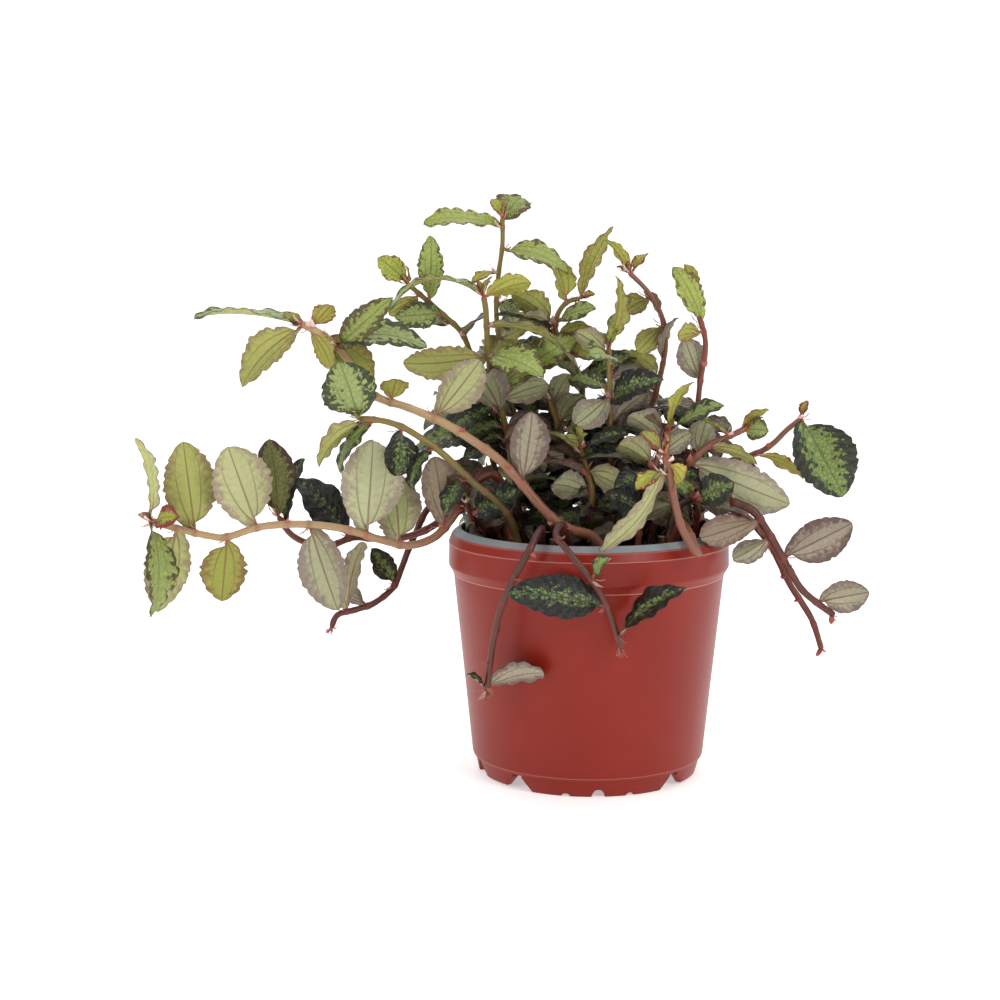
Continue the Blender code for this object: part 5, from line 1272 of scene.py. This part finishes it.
def stemMaterial(tone, colours):
    rootColour, tipColour, nodeColour = colours
    settings = {"Roughness": 0.36, "IOR": 1.45, "Subsurface Weight": 0.1, "Subsurface Scale": 0.8 * mm}
    material, tree, coordinates = newMaterial(f"leafyStemSkin_{tone}", settings)
    place = addNode(tree, "Attribute", attribute_name="place").outputs["Vector"]
    share, node, seed = readVector(tree, "life")
    long = addNode(tree, "Mapping", {"Scale": (1, 1, streakForm["stretch"]), "Vector": place})
    streak = addNode(
        tree, "TexNoise", {"Scale": 1 / streakForm["streakMm"] * 2, "Detail": 3, "Vector": long}
    )
    speck = addNode(
        tree, "TexNoise", {"Scale": 1000 / streakForm["speckMm"], "Detail": 2, "Vector": coordinates}
    )
    skin = addNode(tree, "ValToRGB", {0: share}, stops=[(0.3, rootColour), (0.65, tipColour)])
    band = addNode(tree, "Math", {0: node, 1: streakForm["band"]}, operation="MULTIPLY")
    banded = addNode(tree, "Mix", {0: band, 6: skin, 7: srgb(nodeColour)}, data_type="RGBA")
    value = addNode(tree, "MapRange", {0: streak, 3: 0.72, 4: 1.22})
    tinted = addNode(tree, "HueSaturation", {"Value": value, "Color": banded})
    height = addNode(tree, "Math", {0: streak, 1: speck}, operation="ADD")
    rough = addNode(tree, "MapRange", {0: speck, 3: 0.28, 4: 0.5})
    finishSurface(tree, tinted, height, 0.35, 0.2, rough)
    return material


def plainTissue(name, young, old, roughness, speckMm):  # petioles, scales and roots: one hue, finely mottled
    settings = {"Roughness": roughness, "IOR": 1.45, "Subsurface Weight": 0.1, "Subsurface Scale": 0.6 * mm}
    material, tree, coordinates = newMaterial(name, settings)
    age = readVector(tree, "life")[1]
    speck = addNode(tree, "TexNoise", {"Scale": 1000 / speckMm, "Detail": 2, "Vector": coordinates})
    hue = addNode(tree, "ValToRGB", {0: age}, stops=[(0.2, young), (0.9, old)])
    value = addNode(tree, "MapRange", {0: speck, 3: 0.75, 4: 1.2})
    tinted = addNode(tree, "HueSaturation", {"Value": value, "Color": hue})
    finishSurface(tree, tinted, speck, 0.3, 0.15)
    return material


leafUpper = bladeMaterial("leafUpperSkin", upperLook)
leafUnder = bladeMaterial("leafUnderSkin", underLook)
petioleSkin = plainTissue("petioleSkin", "#B4543C", "#843C30", 0.4, 0.6)
stipuleSkin = plainTissue("stipuleDrySkin", "#E8CBC2", "#A86252", 0.55, 0.5)
rootSkin = plainTissue("aerialRootSkin", "#8C4A3C", "#8C4A3C", 0.6, 0.5)
stemSkins = {tone: stemMaterial(tone, colours) for tone, colours in stemLook.items()}
print("materials of the plant are ready")

slotOf = {row["node"]: row["material_slot"] for row in frame["record"]["subparts"]}
space = Space()
outerProfile, innerProfile = potProfile()
space.add("pot", *turnedShell(outerProfile + innerProfile, potForm["cadSides"]))
grown = growStems(space)
leafCount = sum(len(stem["leaves"]) for stem in grown)
growFill(space, grown)
allLeaves = sum(len(stem["leaves"]) for stem in grown)
print(f"grew {len(grown)} stems with {leafCount} leaves, and {allLeaves - leafCount} more between them")

chance = random.Random(growthForm["seed"])
for stem in grown:
    shell = Shell()
    addStem(shell, stem, chance)
    skins = [leafUpper, leafUnder, stemSkins[stem["tone"]], petioleSkin, stipuleSkin, rootSkin]
    shell.piece("leafy_" + stem["name"], skins, stem["name"], slotOf[stem["name"]])
print("leafy stems are in place")


def roundCorners(points, radius, steps):  # each corner of an open profile drawn as a small curve
    smooth = [Vector(points[0])]
    for before, corner, after in zip(points, points[1:], points[2:]):
        before, corner, after = Vector(before), Vector(corner), Vector(after)
        inward, onward = before - corner, after - corner
        reach = min(radius, inward.length * 0.45, onward.length * 0.45)
        start, end = corner + inward.normalized() * reach, corner + onward.normalized() * reach
        for step in range(steps + 1):
            t = step / steps
            smooth.append(start * (1 - t) ** 2 + corner * (2 * t * (1 - t)) + end * t ** 2)
    smooth.append(Vector(points[-1]))
    return [tuple(point) for point in smooth]


def addMesh(name, points, faces, collection):
    mesh = bpy.data.meshes.new(name)
    mesh.from_pydata(points, [], faces)
    return addObject(name, mesh, collection)


def applyBoolean(piece, operation, guides):
    modifier = piece.modifiers.new(operation.lower(), "BOOLEAN")
    modifier.operation = operation
    modifier.operand_type = "COLLECTION"
    modifier.collection = guides
    modifier.solver = "EXACT"
    graph = bpy.context.evaluated_depsgraph_get()
    result = bpy.data.meshes.new_from_object(piece.evaluated_get(graph))
    piece.modifiers.remove(modifier)
    piece.data = result
    for guide in list(guides.objects):
        bpy.data.objects.remove(guide)
    bpy.data.collections.remove(guides)


def newGuides(name):
    guides = bpy.data.collections.new(name)
    bpy.context.scene.collection.children.link(guides)
    return guides


def footSector(steps, seat):  # a curved foot round Z; steps give turn and underside height
    form, fine = potForm, []
    for (turn, low), (nextTurn, nextLow) in zip(steps, steps[1:]):
        count = max(1, round((nextTurn - turn) / form["footStep"]))
        fine += [
            (turn + (nextTurn - turn) * part / count, low + (nextLow - low) * part / count)
            for part in range(count)
        ]
    fine.append(steps[-1])
    rounding, inner, top = form["footEdge"], form["footInner"], form["footTop"]
    points = []
    for degrees, low in fine:
        turn = math.radians(degrees)
        outer = form["footOuter"] + (top - form["footOuter"]) * low / seat
        ring = (
            (inner, low + rounding), (inner + rounding, low), (outer - rounding, low),
            (outer, low + rounding), (top, seat), (inner, seat),
        )
        for radius, level in ring:
            points.append((radius * math.cos(turn), radius * math.sin(turn), level))
    faces = tubeFaces(len(fine), len(ring))
    return points, [(face[0], *face[:0:-1]) for face in faces]  # turned to face outward


def makePot():
    form = potForm
    outer, inner = potProfile()
    bandTop = form["creaseHeight"]
    at = outer.index((form["rimRadius"], bandTop))
    crease = form["crease"]
    outer[at : at + 1] = [
        (form["rimRadius"] - crease, bandTop - 3 * crease), (form["rimRadius"], bandTop - crease),
        (form["rimRadius"] - crease / 2, bandTop + crease),
    ]
    ledge = outer.index((form["ledgeRadius"], form["ledgeHeight"]))
    outer[ledge : ledge + 1] = [
        (form["ledgeRadius"] - 0.05 * mm, form["ledgeHeight"] - 2 * crease),
        (form["ledgeRadius"] + form["ledgeBead"], form["ledgeHeight"] - crease / 2),
        (form["ledgeRadius"] + form["ledgeBead"] * 1.3, form["ledgeHeight"] + crease * 2),
    ]
    profile = roundCorners(outer + inner, form["cornerRounding"], form["cornerSteps"])
    pot = addMesh("nursery_pot", *turnedShell(profile, form["sides"]), bpy.context.scene.collection)
    feet = newGuides("feet")
    seat = form["footHeight"] + 0.5 * form["wall"]
    slope, end, rise = form["footSlope"], form["footEnd"], form["shortFootRise"]
    for turn in (0, 120, 240):
        middle, half = turn - 90 + form["frontFootTurn"], form["longFootSpan"] / 2
        steps = [(middle - half, end), (middle - half + slope, 0)]
        side, centre, step = form["sideNotch"], form["middleNotch"], form["notchStep"]
        for shift, (span, height) in ((-step, side), (0, centre), (step, side)):
            notch = middle + shift
            steps += [
                (notch + span / 2 * share, height * (1 - abs(share) ** 3))
                for share in (-1, -0.85, -0.6, -0.3, 0, 0.3, 0.6, 0.85, 1)
            ]
        steps += [(middle + half - slope, 0), (middle + half, end)]
        addMesh("foot", *footSector(steps, seat), feet)
        middle, half = middle + 60, form["shortFootSpan"] / 2
        steps = [(middle - half, end), (middle - half + slope, rise)]
        steps += [(middle + half - slope, rise), (middle + half, end)]
        addMesh("foot", *footSector(steps, seat), feet)
    radius, edge = form["centreFootRadius"], form["footEdge"]
    centre = [(0, 0), (radius - edge, 0), (radius, edge), (radius, seat), (0, seat)]
    addMesh("foot", *turnedShell(centre, form["roundSides"]), feet)
    applyBoolean(pot, "UNION", feet)
    drains = newGuides("drains")
    low, high = form["footHeight"] - form["wall"], form["footHeight"] + 2 * form["wall"]
    cutter = [(0, low), (form["drainRadius"], low), (form["drainRadius"], high), (0, high)]
    for hole in range(form["drainHoles"]):
        turn = math.tau * hole / form["drainHoles"]
        points, faces = turnedShell(cutter, form["roundSides"])
        shift = Vector((form["drainCircle"] * math.cos(turn), form["drainCircle"] * math.sin(turn), 0))
        addMesh("drain", [point + shift for point in points], faces, drains)
    applyBoolean(pot, "DIFFERENCE", drains)
    pot.data.shade_smooth()
    pot.data.set_sharp_from_angle(angle=math.radians(34))
    pot.data.materials.clear()
    pot.data.materials.append(potPlastic)
    standFor(pot, "pot")


# Pot wall, polypropylene, thermoformed: a soft satin that goes pale where light grazes it,
# faint streaks round the wall from the mould, fine scuffs, and a bluish-grey band on the rim's slope
def potMaterial():
    settings = {"Roughness": 0.36, "IOR": 1.49, "Specular IOR Level": 0.28, "Subsurface Weight": 0.06,
                "Subsurface Scale": 1 * mm, "Subsurface Radius": (1, 0.3, 0.2)}
    material, tree, coordinates = newMaterial("nurseryPotPolypropylene", settings)
    height = addNode(tree, "SeparateXYZ", {0: coordinates}).outputs["Z"]
    cloud = addNode(tree, "TexNoise", {"Scale": 28, "Detail": 2, "Vector": coordinates})
    scuff = addNode(tree, "TexNoise", {"Scale": 900, "Detail": 3, "Vector": coordinates})
    colour = addNode(tree, "ValToRGB", {0: cloud}, stops=[(0.25, "#7E1B0C"), (0.75, "#87200F")])
    # Painted highlight lines: thin pale bands at the crease, the ledge, the step over the feet and the lip's
    # edge, where light catches the edges
    for level, reach, share in ((99.7, 0.3, 0.5), (86.5, 0.35, 0.55), (8.1, 0.3, 0.3), (103.1, 0.3, 0.3)):
        above = addNode(tree, "Math", {0: height, 1: level * mm}, operation="SUBTRACT")
        away = addNode(tree, "Math", {0: above}, operation="ABSOLUTE")
        paintedHighlightLine = addNode(
            tree, "MapRange", {0: away, 1: 0, 2: reach * mm, 3: share, 4: 0}, interpolation_type="SMOOTHSTEP"
        )
        colour = addNode(tree, "Mix", {0: paintedHighlightLine, 6: colour, 7: srgb("#D89A90")}, data_type="RGBA")
    # A bluish-grey band lies on the flat slope of the lip
    greyLipBand = addNode(
        tree, "MapRange", {0: height, 1: 103.3 * mm, 2: 103.7 * mm}, interpolation_type="SMOOTHSTEP"
    )
    ragged = addNode(tree, "MapRange", {0: cloud, 1: 0.3, 2: 0.6, 3: 0.7, 4: 0.95})
    greyLipBandShare = addNode(tree, "Math", {0: greyLipBand, 1: ragged}, operation="MULTIPLY")
    colour = addNode(tree, "Mix", {0: greyLipBandShare, 6: colour, 7: srgb("#7F8E92")}, data_type="RGBA")
    rough = addNode(tree, "MapRange", {0: scuff, 3: 0.3, 4: 0.46})
    finishSurface(tree, colour, scuff, 0.1, 0.05, rough)
    return material


# Soil, sphagnum peat with bark bits, moist: nearly black, crumbly, without gloss
def soilMaterial():
    settings = {"Roughness": 0.92, "IOR": 1.4, "Specular IOR Level": 0.3}
    material, tree, coordinates = newMaterial("moistPeat", settings)
    clump = addNode(tree, "TexNoise", {"Scale": 320, "Detail": 4, "Vector": coordinates})
    fibre = addNode(tree, "TexNoise", {"Scale": 1500, "Detail": 3, "Distortion": 1.5, "Vector": coordinates})
    both = addNode(tree, "Math", {0: fibre, 1: 0.5, 2: clump}, operation="MULTIPLY_ADD")
    stops = [(0.5, "#060404"), (0.76, "#0E0A08"), (0.9, "#1C140F"), (0.98, "#33251A")]
    colour = addNode(tree, "ValToRGB", {0: both}, stops=stops)
    finishSurface(tree, colour, both, 0.9, 0.5)
    return material


# Bark bits and cut stems, dead wood: fibres along it, brown outside, pale and porous at a cut
def woodMaterial(name, stops, fibreScale):
    settings = {"Roughness": 0.8, "IOR": 1.5, "Specular IOR Level": 0.35}
    material, tree, coordinates = newMaterial(name, settings)
    along = addNode(tree, "Mapping", {"Scale": (1, 1, 0.25), "Vector": coordinates})
    fibre = addNode(tree, "TexNoise", {"Scale": fibreScale, "Detail": 4, "Vector": along})
    colour = addNode(tree, "ValToRGB", {0: fibre}, stops=stops)
    finishSurface(tree, colour, fibre, 0.6, 0.25)
    return material


def crumbShell(centre, size, flatness, turn, chance):  # a rough lump: an icosphere with shaken points
    shape = bmesh.new()
    bmesh.ops.create_icosphere(shape, subdivisions=1 if size < 1.5 * mm else 2, radius=size)
    spin = Euler((chance.uniform(-0.5, 0.5), chance.uniform(-0.5, 0.5), turn)).to_matrix()
    offset = Vector((chance.uniform(0, 9), chance.uniform(0, 9), chance.uniform(0, 9)))
    points = []
    for vertex in shape.verts:
        lump = 1 + 0.45 * noise.noise(vertex.co / size + offset)
        spot = vertex.co * lump
        spot.z *= flatness
        spot.x *= 1.3
        points.append(centre + spin @ spot)
    faces = [tuple(vertex.index for vertex in face.verts) for face in shape.faces]
    shape.free()
    return points, faces


def makeSoil():
    form = soilForm
    chance = random.Random(form["crumbSeed"])
    wall, gap = potForm["wall"], form["gap"]
    edge = potForm["ledgeRadius"] - wall - gap

    def top(x, y):
        spot = Vector((x, y, 0)) * form["lumpScale"]
        lump = noise.fractal(spot, 1, 2, 4, noise_basis="PERLIN_ORIGINAL")
        return soilTop(x, y) + form["lump"] * lump * 0.6

    bottom = potForm["footHeight"] + wall + gap
    stepEdge = potForm["stepRadius"] - wall - gap
    rings = [(stepEdge * share, bottom) for share in (0.5, 1)]
    rings.append((edge, potForm["ledgeHeight"] + gap))
    rings += [(edge * (1 - step / form["rings"]), None) for step in range(form["rings"])]
    points, sides = [Vector((0, 0, bottom))], form["sides"]
    for radius, level in rings:
        for side in range(sides):
            turn = math.tau * side / sides
            x, y = radius * math.cos(turn), radius * math.sin(turn)
            points.append(Vector((x, y, top(x, y) if level is None else level)))
    points.append(Vector((0, 0, top(0, 0))))
    shell = Shell()
    shell.add(points, ringFaces(len(rings), sides), 0, (0, 0, 0), (0, 0, 0))
    small, large = form["crumbSize"]
    for _ in range(form["crumbs"]):
        reach = (edge - large) * math.sqrt(chance.random())
        turn = chance.uniform(0, math.tau)
        x, y = reach * math.cos(turn), reach * math.sin(turn)
        bark = chance.random() < form["barkShare"]
        size = small + (large - small) * chance.random() ** 2.5
        centre = Vector((x, y, top(x, y) + size * 0.1))
        flatness = 0.35 if bark else 0.75
        points, faces = crumbShell(centre, size, flatness, chance.uniform(0, math.tau), chance)
        shell.add(points, faces, 1 if bark else 0, (0, 0, 0), (0, 0, 0))
    shell.piece("potting_soil", [peat, barkBits], "soil", "potting_soil", 50)


def makeStub(index, x, y, radius, height):  # an old stem cut short, with a rounded rim and a dished end
    form = stubForm
    centre = Vector((x * mm, y * mm, 0))
    ground = soilTop(centre.x, centre.y)
    low, high = ground - soilForm["holeDepth"] / 2, ground + height * mm
    size, edge = radius * mm, form["edge"]
    levels = [low + (high - edge - low) * step / form["rows"] for step in range(form["rows"] + 1)]
    rings = [(size * 0.985, level) for level in levels]
    rings += [(size - edge, high), (size * 0.55, high - form["dish"]), (size * 0.2, high - form["dish"])]
    points, sides = [Vector((0, 0, low))], form["sides"]
    for reach, level in rings:
        for side in range(sides):
            turn = math.tau * side / sides
            spot = Vector((math.cos(turn), math.sin(turn), level / size * 0.3)) * 1.7
            rough = 1 - form["uneven"] * abs(noise.noise(spot + centre * 900))
            points.append(Vector((reach * rough * math.cos(turn), reach * rough * math.sin(turn), level)))
    points.append(Vector((0, 0, high - form["dish"])))
    kinds = ([0] * len(levels) + [1] * (len(rings) - len(levels) + 1)) * sides  # bark, then the cut end
    shell = Shell()
    faces = ringFaces(len(rings), sides)
    shell.add([point + centre for point in points], faces, kinds, (0, 0, 0), (0, 0, 0))
    shell.piece(f"old_cut_stem_{index}", [stubBark, stubCut], f"cut_stub_{index}", "cut_stub", 50)


stubForm = {"sides": 24, "rows": 8, "edge": 0.35 * mm, "dish": 0.3 * mm, "uneven": 0.16}
potPlastic = potMaterial()
peat = soilMaterial()
barkBits = woodMaterial("barkBits", [(0.3, "#2A1B12"), (0.55, "#4A3222"), (0.8, "#6E5138")], 900)
stubBark = woodMaterial("cutStemBark", [(0.3, "#3C2A1C"), (0.5, "#6A4E34"), (0.75, "#92714E")], 1100)
stubCut = woodMaterial("cutStemEnd", [(0.3, "#A88C66"), (0.5, "#CDB68C"), (0.75, "#E2D2AE")], 1600)
makePot()
makeSoil()
for index, stub in enumerate(cutStubs, 1):
    makeStub(index, *stub)
print("pot, soil and cut stems are in place")

# Stage: a pale floor and a white surround, as in a light tent
stageForm = {
    "floor": 6, "floorColour": "#F8F8F7", "sky": 1.25, "back": 1.22, "front": 0.05, "floorRough": 0.6,
    "glow": 0.42, "rimLow": 0.1, "rimHigh": 0.26,
}


def makeStage():
    form = stageForm
    mesh = bpy.data.meshes.new("floor")
    half = form["floor"] / 2
    corners = [(-half, -half, 0), (half, -half, 0), (half, half, 0), (-half, half, 0)]
    mesh.from_pydata(corners, [], [(0, 1, 2, 3)])
    floor = addObject("floor", mesh)
    settings = {
        "Roughness": form["floorRough"], "Emission Color": (1, 1, 1, 1), "Emission Strength": form["glow"],
    }
    material, tree, coordinates = newMaterial("backlitWhiteAcrylic", settings)
    grain = addNode(tree, "TexNoise", {"Scale": 40, "Detail": 2, "Vector": coordinates})
    stops = [(0.3, "#F5F5F4"), (0.7, form["floorColour"])]
    colour = addNode(tree, "ValToRGB", {0: grain}, stops=stops)
    feed(tree, colour, tree.nodes["Principled BSDF"].inputs["Base Color"])
    mesh.materials.append(material)
    world = bpy.data.worlds.new("lightTent")
    bpy.context.scene.world = world
    world.use_nodes = True
    tree = world.node_tree
    direction = addNode(tree, "TexCoord").outputs["Generated"]
    x, y, z = addNode(tree, "SeparateXYZ", {0: direction}).outputs
    depth = addNode(tree, "MapRange", {0: y, 1: -1, 2: 1, 3: form["front"], 4: form["back"]})
    height = addNode(tree, "MapRange", {0: z, 1: 0, 2: 1, 3: 1, 4: form["sky"]})
    strength = addNode(tree, "Math", {0: depth, 1: height}, operation="MULTIPLY")
    # A white rim all round, so that no horizon shows
    rim = addNode(
        tree, "MapRange", {0: z, 1: form["rimLow"], 2: form["rimHigh"], 3: 1, 4: 0},
        interpolation_type="SMOOTHSTEP",
    )
    level = addNode(tree, "Mix", {0: rim, 2: strength, 3: form["back"]}, data_type="FLOAT")
    background = tree.nodes["Background"]
    background.inputs["Color"].default_value = (1, 1, 1, 1)
    feed(tree, level, background.inputs["Strength"])


# Soft lights: name, place, size (m) and power (W), all turned to the plant
lightForm = [
    ("keyLight", (0.75, -0.9, 0.9), 0.6, 7),
    ("fillLight", (-0.9, -0.8, 0.7), 0.7, 3.8),
    ("topLight", (0.0, 0.1, 1.2), 0.9, 2),
]


def makeLights():
    target = Vector((0, 0, 0.12))
    for name, place, size, power in lightForm:
        light = bpy.data.lights.new(name, "AREA")
        light.shape = "DISK"
        light.size = size
        light.energy = power
        lamp = addObject(name, light)
        lamp.location = place
        lamp.rotation_euler = (target - Vector(place)).to_track_quat("-Z", "Y").to_euler()


def makeCamera():
    camera = bpy.data.cameras.new("camera")
    camera.lens = view["lensMm"]
    camera.sensor_width = view["sensorMm"]
    holder = addObject("camera", camera)
    holder.location = view["eye"]
    holder.rotation_euler = (math.radians(90 - view["downDegrees"]), 0, 0)
    bpy.context.scene.camera = holder


makeCamera()
makeStage()
makeLights()
bpy.context.scene.view_settings.view_transform = "Standard"
print("stage, lights and camera are ready")
